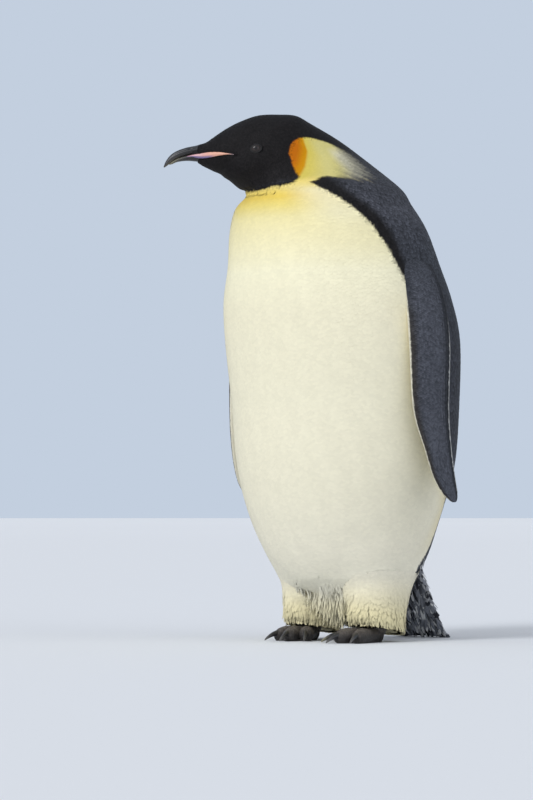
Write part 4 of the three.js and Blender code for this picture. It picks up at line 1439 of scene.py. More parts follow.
@dataclass
class Skin:
    """The one skin of the whole bird, inside the outer surfaces by the depth of the coat."""

    body: Body
    wings: tuple[Wing, ...]
    legs: tuple[Leg, ...]
    tail: Tail
    feet: tuple[Foot, ...]
    eyes: tuple[EyeSocket, ...]
    markings: Markings
    lid_colour: str = "#2A2523"
    eye_room: float = 0.1  # how much wider than the eyeball its socket is
    body_sides: int = 176
    # How far apart the body's rings are, by place along it.
    ring_gaps: Sequence[tuple[float, float]] = ((0, 4.8), (11, 4.6), (13, 3.0), (14.5, 1.7), (24, 1.5))

    def trunk(self) -> Shape:
        """Trunk, neck and head."""
        rings = even_rings(self.body, lambda t: read(self.ring_gaps, t * LAST_PLACE))
        t, angle = grid(rings, self.body_sides)
        shape = loft(self.body.sunk(t, angle, coat_depth(t)))
        return self.dressed(shape, self.markings.body(t.ravel(), angle.ravel()))

    def dressed(self, shape: Shape, tint: Array) -> Shape:
        """The loft with the tint of its rings, all of it feathered."""
        shape.marks["bare"] = np.zeros(len(shape.points))
        return shape.with_tint(capped(tint))

    def limbs(
        self, surfaces: Sequence[Surface], depth: float, paint: Callable, rings: int, sides: int
    ) -> Shape:
        """Both wings, both legs or the tail, as one shape."""
        t, angle = grid(np.linspace(0, 1, rings), sides)
        flat_t, flat_angle = t.ravel(), angle.ravel()
        parts = [self.dressed(loft(s.sunk(t, angle, depth)), paint(flat_t, flat_angle)) for s in surfaces]
        return joined(parts)

    def soles(self) -> list[Shape]:
        """The bare feet, as shapes of which each holds one piece of both feet."""
        pieces = []
        for k in range(3):
            pieces.append([foot.toe(foot.toes[k]) for foot in self.feet])
        for k in range(2):
            pieces.append([foot.web(foot.toes[k], foot.toes[k + 1]) for foot in self.feet])
        pieces.append([foot.heel() for foot in self.feet])
        for pair in pieces:
            for foot, shape in zip(self.feet, pair):
                shape.marks["bare"] = np.ones(len(shape.points))
                shape.tint = foot.tint(shape.points)
        return [joined(pair) for pair in pieces]

    def sockets(self) -> Shape:
        """Two balls that hollow the head out round the eyes."""
        polar, angle = grid(np.linspace(0.04, np.pi - 0.04, 40), 48)
        ball = np.stack([np.sin(polar) * np.cos(angle), np.sin(polar) * np.sin(angle), np.cos(polar)], -1)
        parts = [loft(eye.middle + ball * (eye.radius + self.eye_room)) for eye in self.eyes]
        for part in parts:
            part.marks["bare"] = np.full(len(part.points), 0.35)
            part.with_tint(linear("#1A1516"))
        return joined(parts)

    def build(self) -> Piece:
        """Joins all of it into one closed skin.

        Returns:
            The skin's object.
        """
        face = FaceSide(self.body, self.body, first=0.6)
        lids = joined([eye.lids(face, self.lid_colour) for eye in self.eyes])
        wings = self.limbs(self.wings, 0.0, self.markings.wing, 110, 44)
        legs = self.limbs(self.legs, LEG_DEPTH, self.markings.leg, 36, 56)
        tail = self.limbs([self.tail], TAIL_DEPTH, self.markings.tail, 30, 48)
        trunk = self.trunk()
        trunk.marks["given"] = np.ones(len(trunk.points))
        skin = make_mesh("skin", trunk)
        for shape in (wings, tail, legs, *self.soles(), lids):
            combine(skin, shape, "UNION")
        combine(skin, self.sockets(), "DIFFERENCE")
        fill_seams(skin.data)
        rest_on_floor(skin.data)
        return skin


def rest_on_floor(mesh: bpy.types.Mesh) -> None:
    """Presses the few points that lie under the floor flat onto it."""
    spots = np.zeros(len(mesh.vertices) * 3, np.float32)
    mesh.vertices.foreach_get("co", spots)
    spots[2::3] = np.maximum(spots[2::3], 0)
    mesh.vertices.foreach_set("co", spots)
    mesh.update()


def combine(base: Piece, shape: Shape, operation: str) -> None:
    """Joins a closed shape to an object's mesh, or cuts it away.

    Args:
        base: the object whose mesh changes.
        shape: the other shape.
        operation: UNION or DIFFERENCE.
    """
    shape.marks["given"] = np.ones(len(shape.points))
    other = make_mesh("cutter", shape)
    modifier = base.modifiers.new("combine", "BOOLEAN")
    modifier.object = other
    modifier.operation = operation
    modifier.solver = "MANIFOLD"
    result = bpy.data.meshes.new_from_object(base.evaluated_get(bpy.context.evaluated_depsgraph_get()))
    base.modifiers.clear()
    base.data = result
    bpy.data.objects.remove(other)


def fill_seams(mesh: bpy.types.Mesh) -> None:
    """Gives the points that joining made, whose given mark is 0, the mean of their neighbours."""
    ends = np.zeros(len(mesh.edges) * 2, np.int32)
    mesh.edges.foreach_get("vertices", ends)
    a, b = ends.reshape(-1, 2).T
    count = len(mesh.vertices)
    tint = np.zeros(count * 4, np.float32)
    mesh.attributes["tint"].data.foreach_get("color", tint)
    bare = np.zeros(count, np.float32)
    mesh.attributes["bare"].data.foreach_get("value", bare)
    given = np.zeros(count, np.float32)
    mesh.attributes["given"].data.foreach_get("value", given)
    values = np.hstack([tint.reshape(-1, 4), bare[:, None]])
    known = given > 0.5
    for _ in range(12):
        total = np.zeros((count, 5))
        number = np.zeros(count)
        for here, there in ((a, b), (b, a)):
            np.add.at(total, here, values[there] * known[there, None])
            np.add.at(number, here, known[there])
        fill = ~known & (number > 0)
        values[fill] = total[fill] / number[fill, None]
        known = known | fill
    mesh.attributes["tint"].data.foreach_set("color", values[:, :4].astype(np.float32).ravel())
    mesh.attributes["bare"].data.foreach_set("value", values[:, 4].astype(np.float32))
    mesh.attributes.remove(mesh.attributes["given"])
    mesh.shade_smooth()


# ---- bill, plates, eyes and claws


@dataclass
class Bill(Surface):
    """Half of the bill: an oval at each section between its ridge and its edge; angle 0 is the ridge."""

    body: Body
    # Sections: forward and height of the ridge, forward and height of the edge, half-width.
    table: Sequence[tuple[float, ...]]
    groove: float = 0.0  # depth of the groove along its side

    def at(self, t: Array, angle: Array) -> Array:
        """The oval, pinched beside the ridge, with a groove that holds the nostril."""
        row = through(np.array(self.table, float), t * (len(self.table) - 1))
        ridge, edge = row[..., 0:2], row[..., 2:4]
        middle = (ridge + edge) / 2
        place = middle + (ridge - middle) * np.cos(angle)[..., None]
        fold = np.degrees(np.arccos(np.clip(np.cos(angle), -1, 1)))
        pinch = 1 - 0.1 * np.exp(-(((fold - 30) / 16) ** 2))
        out = np.sin(angle) * row[..., 4] * pinch
        run = ease(0.1, 0.25, t) * ease(0.72, 0.5, t)
        nostril = 1.2 * np.exp(-(((t - 0.36) / 0.035) ** 2)) * np.exp(-(((fold - 66) / 7) ** 2))
        dent = self.groove * (np.exp(-(((fold - 66) / 10) ** 2)) * run + nostril)
        return self.body.in_head(place[..., 0], place[..., 1], out - np.sign(np.sin(angle)) * dent)

    def build(self, name: str, paint: Callable[[Array, Array], Array]) -> Piece:
        """The fine mesh, with a map along and round it."""
        t, angle = grid(1 - (1 - np.linspace(0, 1, 150)) ** 1.15, 56)
        return make_horn(name, self.at(t, angle), t, angle, paint(t.ravel(), angle.ravel()))


UPPER_BILL = (
    (138, 914, 140, 900, 11), (151, 916, 150.5, 899, 12), (164.5, 913.5, 163.5, 897.5, 11),
    (180, 910.3, 179, 894.5, 9.3), (197, 904, 195, 889.4, 7.2), (208.8, 895.6, 206.8, 882.6, 5.2),
    (216.7, 884.8, 214.2, 876.8, 3.1), (220.5, 875.2, 219.7, 873.3, 0.9),
)
LOWER_BILL = (
    (136.5, 900.5, 142.5, 884, 11.4), (150.5, 900, 152.5, 884, 12), (163.5, 899, 164.5, 885.3, 10.6),
    (179, 896.3, 179, 886, 8.4), (194.5, 890.9, 195, 884, 6), (204.3, 885.2, 204.8, 880, 3.8),
    (209.8, 881.2, 210.2, 878.8, 1.2),
)


def paint_upper_bill(t: Array, angle: Array) -> Array:
    """Near black, with a browner, worn cutting edge towards the tip."""
    worn = ease(0.35, 1.0, t) * ease(0.0, -0.9, np.cos(angle))
    return layered(linear("#262528"), ("#100F10", ease(0.75, 0.3, t)), ("#5D574C", worn * 0.8))


def paint_lower_bill(t: Array, angle: Array) -> Array:
    """Black at the root, greenish grey horn towards the tip."""
    horn = ease(0.45, 0.95, t + 0.1 * np.cos(angle))
    return layered(linear("#242326"), ("#100F10", ease(0.7, 0.3, t)), ("#6B6752", horn))


@dataclass
class Plate:
    """The coloured plate along the lower bill, from the corner of the mouth forward."""

    body: Body
    side: Side
    # Sections: forward, top and bottom.
    table: Sequence[tuple[float, float, float]] = (
        (90, 894.2, 893), (103, 896.6, 893.6), (118.5, 899.1, 892.3), (134.5, 899.8, 889.9),
        (150.5, 898.5, 889.2), (166.3, 896.6, 891.4), (178, 893.7, 892.5),
    )
    thickness: float = 3.4
    proud: float = 0.6  # how far it stands out of the face
    bulge: float = 0.35  # and how much further along its middle

    def covers(self, forward: Array, height: Array, margin: float) -> Array:
        """Whether places in the side view lie on the plate, or within a margin of it."""
        first, top, bottom = (np.array(column, float) for column in zip(*self.table))
        over = height < np.interp(forward, first, top) + margin
        under = height > np.interp(forward, first, bottom) - margin
        return over & under & (forward > first[0] - 3 * margin) & (forward < first[-1])

    def build(self, faces: Sequence[FaceSide]) -> Piece:
        """A lens-shaped strip inlaid in the side of the face, swollen along its middle.

        Args:
            faces: the surfaces that it lies in; it follows whichever stands further out.

        Returns:
            The plate's object.
        """
        rows = np.array(self.table, float)
        middle = rows[:, 1:].mean(1)
        felt = np.max([face.out(rows[:, 0], middle) for face in faces], axis=0) + self.proud
        full = np.column_stack([rows, felt])
        t, angle = grid(np.linspace(0, 1, 80), 32)
        forward, top, bottom, out = np.moveaxis(through(full, t * (len(rows) - 1)), -1, 0)
        height = (top + bottom) / 2 + np.sin(angle) * (top - bottom) / 2
        bulge = self.bulge * np.cos(angle) ** 2
        place = out - self.thickness / 2 + np.cos(angle) * (self.thickness / 2 + bulge)
        rings = self.body.in_head(forward, height, place * self.side.value)
        tint = self.paint(t.ravel(), np.sin(angle).ravel())
        return make_horn(f"plate_{self.side.word}", rings, t, angle, tint)

    def paint(self, t: Array, up: Array) -> Array:
        """Salmon behind, pink in front, and lilac along the lower edge and at the tip."""
        below = ease(0.1, -0.75, up - 0.5 * ease(0.5, 1.0, t))
        return layered(
            linear("#D9A088"),
            ("#C99AA0", ease(0.4, 0.85, t)),
            ("#8F7F88", ease(0.2, 0.0, t)),
            ("#6C5F88", below * ease(0.35, 0.55, t)),
        )


def build_eye(socket: EyeSocket) -> Piece:
    """The eyeball: a ball with a low bulge over the iris, round the axis that points out of the head."""
    polar, angle = grid(np.linspace(0.02, np.pi - 0.02, 60), 64)
    radius = socket.radius * (1 + 0.02 * np.exp(-((polar / 0.5) ** 2)))
    x = radius * np.sin(polar) * np.cos(angle)
    y = radius * np.sin(polar) * np.sin(angle)
    out = abs(socket.left) + radius * np.cos(polar)
    shape = loft(socket.place(x, y, out))
    shape.marks["ray"] = np.append(polar.ravel() / (np.pi / 2), [0.0, 2.0])
    return make_mesh(f"eyeball_{socket.side.word}", shape)


@dataclass
class Claw:
    """A claw: a tapering oval that leaves the toe level and curves down to just above the floor."""

    foot: Foot
    toe: Toe
    length: float = 27.0
    height: float = 6.2  # half its height at the root
    width: float = 5.0  # half its width there
    start: float = 14.5  # how high over the floor its middle starts
    drop: float = 12.5  # how far it comes down
    sunk: float = 8.0  # how far back in the toe it starts
    hook: float = 3.0  # how far its back leans over its underside

    def build(self, colour: str) -> Piece:
        """The claw's fine mesh: tapering by a root, hooked by leaning its sections, ridged along its back.

        Args:
            colour: the horn's colour at the tip.

        Returns:
            The claw's object.
        """
        t, angle = grid(np.linspace(0, 1, 44) ** 0.8, 28)
        taper = np.sqrt(1 - t * 0.985)
        along = self.toe.length - self.sunk + t * (self.length + self.sunk)
        along = along + self.hook * t * taper * np.sin(angle)
        left = np.cos(angle) * self.width * taper * (1 - 0.12 * ease(0.2, 0.9, np.sin(angle)))
        up = np.sin(angle) * self.height * taper * (1 - 0.3 * t)
        rows = self.foot.on_toe(self.toe, along, left, self.start - self.drop * t * t + up)
        tint = layered(linear("#1F1E20"), (colour, ease(0.45, 1.0, t.ravel())))
        return make_horn(f"nail_{self.foot.stance.side.word}_{self.toe.name}", rows, t, angle, tint)


# ---- the coat


@dataclass(frozen=True)
class Panel:
    """A part of the body's coat: from one place to another, in front, behind or all round."""

    name: str
    slot: str
    low: float
    high: float
    front: bool | None = None

    def holds(self, place: Array, angle: Array) -> Array:
        """Which of the feathers at these places and angles are the panel's."""
        inside = (place >= self.low) & (place < self.high)
        return inside if self.front is None else inside & ((np.cos(angle) < 0) == self.front)

    def patch(self, place: Array, angle: Array) -> Array:
        """Each feather's place in the panel's bake map, from 0 to 1 round it and along it."""
        half = np.pi / 2
        start, sweep = {None: (0.0, TURN), True: (half, np.pi), False: (-half, np.pi)}[self.front]
        return np.stack([((angle - start) % TURN) / sweep, (place - self.low) / (self.high - self.low)], -1)


@dataclass
class Coat:
    """All the feathers, tract by tract."""

    body: Body
    wings: tuple[Wing, ...]
    legs: tuple[Leg, ...]
    tail: Tail
    eyes: tuple[EyeSocket, ...]
    plate: Plate
    markings: Markings
    panels: tuple[Panel, ...] = (
        Panel("coat_vent", "plumage_pale", 0, 3.2),
        Panel("coat_belly", "plumage_pale", 3.2, 6.7, True),
        Panel("coat_breast", "plumage_pale", 6.7, 9.4, True),
        Panel("coat_crop", "plumage_pale", 9.4, 12.5, True),
        Panel("coat_rump", "plumage_dark", 3.2, 6.7, False),
        Panel("coat_back", "plumage_dark", 6.7, 9.4, False),
        Panel("coat_mantle", "plumage_dark", 9.4, 12.5, False),
        Panel("coat_neck", "plumage_dark", 12.5, 14.1),
        Panel("coat_head", "plumage_black", 14.1, 24),
    )
    # Distance between neighbouring feathers, by place along the body.
    spacing: Sequence[tuple[float, float]] = (
        (0, 8), (2, 7), (3.2, 5.7), (9, 5.1), (11, 4.8), (12.5, 4.0), (13.4, 3.1), (14.2, 2.6),
        (16, 2.3), (22, 1.9), (24, 1.7),
    )

    lid_share: tuple[float, float] = (0.84, 0.82)  # how much of the lids' length and height stays bare
    plate_margin: float = 0.7  # how far round the plate it stays bare, in millimetres
    face_from: float = 15.0  # only feathers that root beyond this place can reach the plate
    bill_from: float = 160.0  # no feather roots further forward than this on the head

    def body_spacing(self, t: Array) -> Array:
        """The distance between neighbours, from t along the body."""
        return read(self.spacing, t * LAST_PLACE)

    def levels(
        self, dark: Array, draw: np.random.Generator, points: Array, contrast: float = 0.36
    ) -> Array:
        """How light each feather is against the markings: by clouds, and by its own chance."""
        cloud = 1 + (0.02 + 0.08 * dark) * ripple(points, 45, 3)
        cloud = cloud + 0.4 * contrast * dark * ripple(points, 11, 4)
        return cloud * (1 + (0.03 + contrast * dark) * draw.uniform(-1, 1, len(dark)))

    def streaks(self, place: Array, angle: Array) -> Array:
        """Clouds drawn out along the lie of the coat, a few feathers wide."""
        across = np.degrees((angle + np.pi) % TURN - np.pi) * 1.4
        return 0.8 * ripple(np.stack([across, place * 6.0, 0 * place], -1), 6.0, 8)

    def bare(self, t: Array, angle: Array, length: Array) -> Array:
        """Whether a feather would lie over an eye or a plate, or grow on the bare bill."""
        points, along, _, normal = self.body.slopes(t, angle)
        lie = self.body.lie(t, along, normal)
        covered = np.zeros(len(t), bool)
        for share in (0.0, 0.5, 1.0):
            tip = points + lie * (length * share)[:, None]
            forward, height, left = self.body.to_head(tip).T
            for eye in self.eyes:
                x = (forward - eye.forward) / (eye.lid[0] * self.lid_share[0])
                y = (height - eye.height) / (eye.lid[1] * self.lid_share[1])
                covered |= (np.sign(left) == eye.side.value) & (np.hypot(x, y) < 1)
            on_plate = self.plate.covers(forward, height, self.plate_margin)
            covered |= on_plate & (t * LAST_PLACE > self.face_from)
            covered |= (forward > self.bill_from) & (share == 0.0)
        return covered

    def build_body(self) -> list[tuple[Piece, str]]:
        """The coat of trunk, neck and head, in panels."""
        t, angle = scatter(self.body, self.body_spacing, seed=11)
        draw = np.random.default_rng(12)
        place = t * LAST_PLACE
        gap = self.body_spacing(t)
        fluff = 0.5 * ease(2.2, 1.2, place)
        length = gap * (3.6 + 1.0 * fluff) * draw.uniform(0.88, 1.12, len(t))
        yaw = draw.normal(0, 4 + 9 * fluff)
        sway = draw.normal(0, 1, len(t)) * (0.3 + 3 * fluff)
        stray = 0.5 * draw.uniform(-1, 1, len(t)) + self.streaks(place, angle)
        lot = draw.uniform(0, 1, len(t))
        dark = darkness(self.markings.body(t, angle))
        level = self.levels(dark, draw, self.body.at(t, angle))
        tip_t = np.clip(t - length / np.linalg.norm(self.body.slopes(t, angle)[1], axis=-1), 0, 1)
        dark = np.minimum(dark, darkness(self.markings.body(tip_t, angle)))
        # Where the throat folds, feathers root higher and are broader; at its sharpest they're thicker.
        crease = ease(12.0, 12.6, place) * ease(14.2, 13.7, place) * ease(-0.2, -0.5, np.cos(angle))
        tight = ease(12.8, 13.0, place) * ease(13.9, 13.7, place) * ease(-0.5, -0.75, np.cos(angle))
        growth = Growth(
            length, gap * (2.2 - 0.4 * dark - 1.1 * fluff + 0.5 * crease),
            (coat_depth(t) + 0.2) * (1 - 0.75 * crease), lot * gap * (0.02 + 0.05 * dark + 0.25 * fluff),
            thick=gap * (0.02 + 0.07 * dark) + 1.5 * tight, sway=sway, yaw=yaw, hang=0.75 * fluff,
            softness=0.35 + 0.65 * dark, stray=stray, level=level,
        )
        turned = angle % TURN
        kept = ~self.bare(t, angle, length)
        made = []
        for panel in self.panels:
            here = kept & panel.holds(place, turned)
            patch = panel.patch(place[here], turned[here])
            shape = grow(self.body, t[here], angle[here], growth.of(here), self.markings.body, patch)
            made.append((make_mesh(panel.name, shape), panel.slot))
        return made

    def build_wing(self, wing: Wing) -> Piece:
        """A wing's small, scale-like feathers in neat rows that run out to the tip."""
        rings, columns = 128, 52
        wing_length = 475
        fine = np.linspace(0, TURN, 721)
        _, _, around, _ = wing.slopes(np.full(len(fine), 0.4), fine)
        arc = np.concatenate([[0], np.cumsum(np.linalg.norm(around, axis=-1)[:-1])])
        edges = np.interp(np.linspace(0, arc[-1], columns + 1), arc, fine)
        line = even_rings(wing, lambda t: 0 * t + 1.0)
        lengths = np.linspace(0, 1, len(line))
        row, column = np.meshgrid(np.arange(rings), np.arange(columns), indexing="ij")
        row, column = row.ravel(), column.ravel()
        draw = np.random.default_rng(20 + wing.side.value)
        t = np.interp((row + 0.5 * (column % 2)) / rings, lengths, line) * 0.985
        angle = (edges[column] + edges[column + 1]) / 2
        _, _, around, _ = wing.slopes(t, angle)
        gap = np.linalg.norm(around, axis=-1) * (edges[column + 1] - edges[column])
        length = wing_length / rings * 2.4 * draw.uniform(0.9, 1.1, len(t)) * ease(0, 0.5, gap / 4 + 0.25)
        stray = draw.uniform(-1, 1, len(t))
        level = self.levels(darkness(self.markings.wing(t, angle)), draw, wing.at(t, angle), 0.28)
        turned = np.degrees(angle)
        # painted shade: every other row near the trailing edge is darker, standing for the grooves between
        # the rows
        rows = 1 - 0.4 * (column % 2) * ease(100, 135, turned) * ease(185, 178, turned)
        growth = Growth(
            length, np.maximum(gap * 1.5, 1.6), WING_DEPTH + 0.1, draw.uniform(0, 0.25, len(t)),
            thick=np.clip(gap * 0.1, 0.1, 0.5), yaw=draw.normal(0, 3, len(t)), softness=0.8,
            stray=stray, level=level * rows,
        )
        place = np.stack([(column + 0.5) / columns, (row + 0.5) / rings], -1)
        shape = grow(wing, t, angle, growth, self.markings.wing, place)
        return make_mesh(f"coat_wing_{wing.side.word}", shape)

    def build_leg(self, leg: Leg) -> Piece:
        """A leg's long soft locks, which hang over the ankle and the root of the toes."""
        draw = np.random.default_rng(30 + leg.stance.side.value)
        low, high = 0.16, 0.98
        seed = 31 + leg.stance.side.value
        t, angle = scatter(leg, lambda t: 5.4 - 2.0 * t, seed=seed, span=(low, high))
        loose = ease(0.42, 0.85, t)
        length = draw.uniform(19, 23, len(t)) + loose * draw.uniform(-5, 14, len(t))
        stray = draw.uniform(-1, 1, len(t))
        growth = Growth(
            length, 11.5 - 7.6 * loose, LEG_DEPTH + 0.5 - 3 * ease(0.6, 0.2, t),
            lift=0.5 + draw.uniform(-2.5, 3.2, len(t)) * loose, thick=0.12 + 0.4 * loose, hang=0.5 * loose,
            sway=draw.normal(0, 1, len(t)) * (0.3 + 3 * loose),
            yaw=draw.normal(0, 1, len(t)) * (3 + 6 * loose), softness=0.35 + 0.4 * loose, stray=stray,
            level=draw.uniform(0.94, 1.03, len(t)),
        )
        place = np.stack([(angle % TURN) / TURN, (t - low) / (high - low)], -1)
        shape = grow(leg, t, angle, growth, self.markings.leg, place)
        return make_mesh(f"coat_leg_{leg.stance.side.word}", shape)

    def build_locks(self) -> Piece:
        """Loose locks that hang between the legs from under the fold of the belly."""
        draw = np.random.default_rng(70)
        count = 1500
        angle = np.pi + np.radians(draw.uniform(-70, 70, count))
        top = 2.1 + 0.4 * np.sin(angle * 5 + 0.6) * np.cos(angle * 2)
        spot = 0.5 + top * draw.uniform(0, 1, count) ** 0.8
        growth = Growth(
            draw.uniform(20, 46, count) * (1 - 0.35 * ease(1.8, 2.6, spot)), draw.uniform(3, 6, count), 4.0,
            lift=draw.uniform(0, 3, count) * ease(2.7, 2.0, spot), hang=0.75 * ease(3.0, 2.2, spot),
            thick=0.3, sway=draw.normal(0, 2.5, count), yaw=draw.normal(0, 9, count), softness=0.6,
            # a level above 1, up to the pale limit, is painted light that lifts the shade under the fold of
            # the belly
            vane=LOCK, stray=draw.uniform(-1, 1, count), level=draw.uniform(1.0, 1.2, count),
        )
        place = np.stack([(angle - np.pi) / 2.5 + 0.5, (spot - 0.5) / 2.5], -1)
        shape = grow(self.body, spot / LAST_PLACE, angle, growth, self.markings.body, place)
        return make_mesh("coat_locks", shape)

    def build_tail(self) -> Piece:
        """The tail's coverts: mottled feathers over the root of the blades, ragged at their ends."""
        draw = np.random.default_rng(40)
        t, angle = scatter(self.tail, lambda t: 5.0 + 3.5 * t, seed=41, span=(0.02, 0.8))
        count = len(t)
        growth = Growth(
            draw.uniform(18, 36, count), draw.uniform(4, 7, count), TAIL_DEPTH + 0.5,
            draw.uniform(-2, 5, count), thick=0.5, sway=draw.normal(0, 3, count),
            yaw=draw.normal(0, 10, count), softness=0.9, stray=draw.uniform(-1, 1, count),
            level=draw.uniform(0.75, 1.25, count),
        )
        place = np.stack([(angle % TURN) / TURN, t / 0.8], -1)
        return make_mesh("coat_tail", grow(self.tail, t, angle, growth, self.markings.tail, place))

    def build_blades(self) -> Piece:
        """The stiff tail feathers: two layers of ten, fanned out and worn at their tips."""
        draw = np.random.default_rng(50)
        layer = 10
        count = 2 * layer
        tail_length = 205
        across = np.tile(np.linspace(-0.92, 0.92, layer), 2)
        angle = np.arccos(across) * np.repeat([1, -1], layer)
        t = 0.3 + 0.08 * across**2
        growth = Growth(
            (0.82 - t) * tail_length * draw.uniform(0.94, 1.04, count), 14.0,
            4.0 + 0.6 * (np.arange(count) % 2), draw.uniform(0, 1.5, count), thick=1.1, sway=across * 5,
            softness=1.0, vane=BLADE, level=draw.uniform(0.8, 1.3, count),
        )
        place = np.stack([(np.arange(count) + 0.5) / count, np.full(count, 0.5)], -1)
        return make_mesh("tail_blades", grow(self.tail, t, angle, growth, self.markings.tail, place))

    def build_tufts(self) -> Piece:
        """Long coverts that stick out ragged from the rump, over the root of the tail."""
        draw = np.random.default_rng(60)
        count = 900
        spot = 1.5 + 3.3 * draw.uniform(0, 1, count) ** 1.7
        angle = np.radians(draw.uniform(-68, 68, count))
        growth = Growth(
            draw.uniform(20, 42, count), draw.uniform(4, 8, count), 6.0,
            lift=draw.uniform(0, 8, count) * ease(4.4, 3.0, spot), hang=0.3 * ease(4.2, 2.0, spot),
            thick=0.5, sway=draw.normal(0, 4, count), yaw=draw.normal(0, 12, count), softness=0.9,
            stray=draw.uniform(-1, 1, count), level=draw.uniform(0.7, 1.2, count),
        )

        def paint(t: Array, angle: Array, stray: Array) -> Array:
            """The back's colour above, the tail's below."""
            below = ease(4.7, 2.8, t * LAST_PLACE)
            return mix(self.markings.body(t, angle), self.markings.tail(0.3 + 0 * t, angle, stray), below)

        place = np.stack([(angle + 1.2) / 2.4, (spot - 1.5) / 3.3], -1)
        return make_mesh("coat_tufts", grow(self.body, spot / LAST_PLACE, angle, growth, paint, place))


# ---- stage


@dataclass
class Stage:
    """A pale floor, soft light from the front left and above, and the camera."""

    azimuth: float = 42.0
    elevation: float = -1.882
    distance: float = 6.0
    lens: float = 145.0
    target: tuple[float, float, float] = (-0.1092, -0.0813, 0.447)
    floor_reach: float = 60.0  # in metres
    floor_colour: str = "#E4E8EE"
    sky_colour: str = "#C3CFDF"

    def build(self) -> None:
        """Makes everything round the object."""
        self.floor()
        self.world()
        self.sun("key", azimuth=0.0, elevation=30.0, strength=1.75, spread=20.0)
        self.sun("fill", azimuth=100.0, elevation=20.0, strength=0.45, spread=60.0)
        self.camera()

    def floor(self) -> None:
        """A round floor, wide enough to reach the horizon."""
        angle = np.linspace(0, TURN, 129)[:-1]
        rim = self.floor_reach * np.stack([np.cos(angle), np.sin(angle), 0 * angle], -1)
        mesh = bpy.data.meshes.new("floor")
        mesh.from_pydata(rim.tolist(), [], [list(range(len(rim)))])
        made = in_scene("floor", mesh)
        finish = Finish("matt white paint")
        grain = finish.add("ShaderNodeTexNoise", Scale=3.0, Detail=4.0)
        ramp = finish.add("ShaderNodeValToRGB", Fac=grain.outputs["Fac"])
        light = linear(self.floor_colour)
        colour_ramp(ramp.color_ramp, [(0.3, light * 0.96), (0.7, light)])
        made.data.materials.append(finish.surface(Base_Color=ramp.outputs["Color"], Roughness=0.9))

    def world(self) -> None:
        """Even light from all round; the camera sees the pale sky colour instead."""
        world = bpy.data.worlds.new("studio")
        world.use_nodes = True
        nodes, links = world.node_tree.nodes, world.node_tree.links
        light = nodes["Background"]
        light.inputs["Color"].default_value = (*linear("#F4F7FC"), 1)
        light.inputs["Strength"].default_value = 0.64
        seen = nodes.new("ShaderNodeBackground")
        seen.inputs["Color"].default_value = (*linear(self.sky_colour), 1)
        path = nodes.new("ShaderNodeLightPath")
        either = nodes.new("ShaderNodeMath")
        either.operation = "MAXIMUM"
        blend = nodes.new("ShaderNodeMixShader")
        for socket, ray in zip(either.inputs, ("Is Camera Ray", "Is Glossy Ray")):
            links.new(path.outputs[ray], socket)
        for socket, source in zip(blend.inputs, (either, light, seen)):
            links.new(source.outputs[0], socket)
        links.new(blend.outputs[0], nodes["World Output"].inputs["Surface"])
        bpy.context.scene.world = world

    def way(self, azimuth: float, elevation: float) -> Vector:
        """The direction from the object towards an azimuth and elevation in degrees."""
        a, e = np.radians([azimuth, elevation])
        return Vector((np.sin(a) * np.cos(e), -np.cos(a) * np.cos(e), np.sin(e)))

    def sun(self, name: str, azimuth: float, elevation: float, strength: float, spread: float) -> None:
        """A soft sun lamp from one direction, spread over some degrees."""
        light = bpy.data.lights.new(name, "SUN")
        light.energy = strength
        light.angle = np.radians(spread)
        made = in_scene(name, light)
        made.rotation_euler = self.way(azimuth, elevation).to_track_quat("Z", "Y").to_euler()

    def camera(self) -> None:
        """The camera, a little above the floor and looking level."""
        data = bpy.data.cameras.new("camera")
        data.lens = self.lens
        data.clip_end = 200
        made = in_scene("camera", data)
        back = self.way(self.azimuth, self.elevation)
        made.location = Vector(self.target) + back * self.distance
        made.rotation_euler = (-back).to_track_quat("-Z", "Y").to_euler()
        bpy.context.scene.camera = made


# ---- assembly


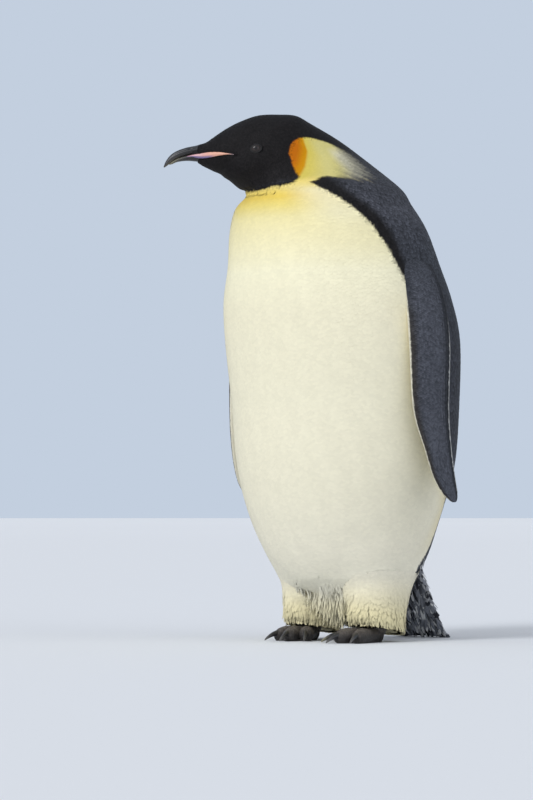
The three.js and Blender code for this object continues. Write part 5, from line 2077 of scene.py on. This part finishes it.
def main() -> None:
    """Builds the skin, the horn and glass, and the coat, and sets the stage."""
    logging.basicConfig(level=logging.INFO, format="%(name)s: %(message)s")
    bpy.context.scene.view_settings.view_transform = "Standard"
    Stage().build()

    body = Body()
    wings = tuple(Wing(side) for side in Side)
    legs = tuple(Leg(stance, body.trunk) for stance in STANCES)
    tail = Tail()
    feet = tuple(Foot(stance) for stance in STANCES)
    eyes = tuple(EyeSocket(body, side) for side in Side)
    markings = Markings()

    flesh = ["trunk", "neck", "head", "tail"]
    flesh += [f"{part}_{side.word}" for side in Side for part in ("wing", "leg", "foot")]
    inner_wings = tuple(Wing(side, inset=WING_DEPTH) for side in Side)
    skin = Skin(body, inner_wings, legs, tail, feet, eyes, markings).build()
    put_in_place(skin, Hide().material("feathered_skin"), flesh)

    horn = Horn().material("bill_horn")
    upper, lower = Bill(body, UPPER_BILL, groove=1.0), Bill(body, LOWER_BILL)
    put_in_place(upper.build("upper_bill", paint_upper_bill), horn, ["bill_upper"])
    put_in_place(lower.build("lower_bill", paint_lower_bill), horn, ["bill_lower"])
    wax = Horn(roughness=0.42, coat=0.1, scuffs=0.06).material("waxy_plate")
    faces = (FaceSide(body, body, first=0.6), FaceSide(body, lower))
    wet = GlassEye().material("wet_eye")
    for side, eye in zip(Side, eyes):
        put_in_place(Plate(body, side).build(faces), wax, [f"bill_plate_{side.word}"])
        put_in_place(build_eye(eye), wet, [f"eye_{side.word}"])
    nail = Horn(roughness=0.4, coat=0.1, scuffs=0.4).material("claw_horn")
    for foot in feet:
        for toe in foot.toes:
            worn = "#6E6A52" if (foot.stance.side, toe.name) == (Side.LEFT, "inner") else "#4C4A48"
            node = f"claw_{foot.stance.side.word}_{toe.name}"
            put_in_place(Claw(foot, toe).build(worn), nail, [node])

    coat = Coat(body, wings, legs, tail, eyes, Plate(body, Side.LEFT), markings)
    feathers = Plumage().material("contour_feathers")
    for made, slot in coat.build_body():
        put_in_place(made, feathers)
    for wing in wings:
        put_in_place(coat.build_wing(wing), feathers)
    for leg in legs:
        put_in_place(coat.build_leg(leg), feathers)
    put_in_place(coat.build_locks(), feathers)
    for made in (coat.build_tail(), coat.build_blades(), coat.build_tufts()):
        put_in_place(made, feathers)


if __name__ == "__main__":
    main()
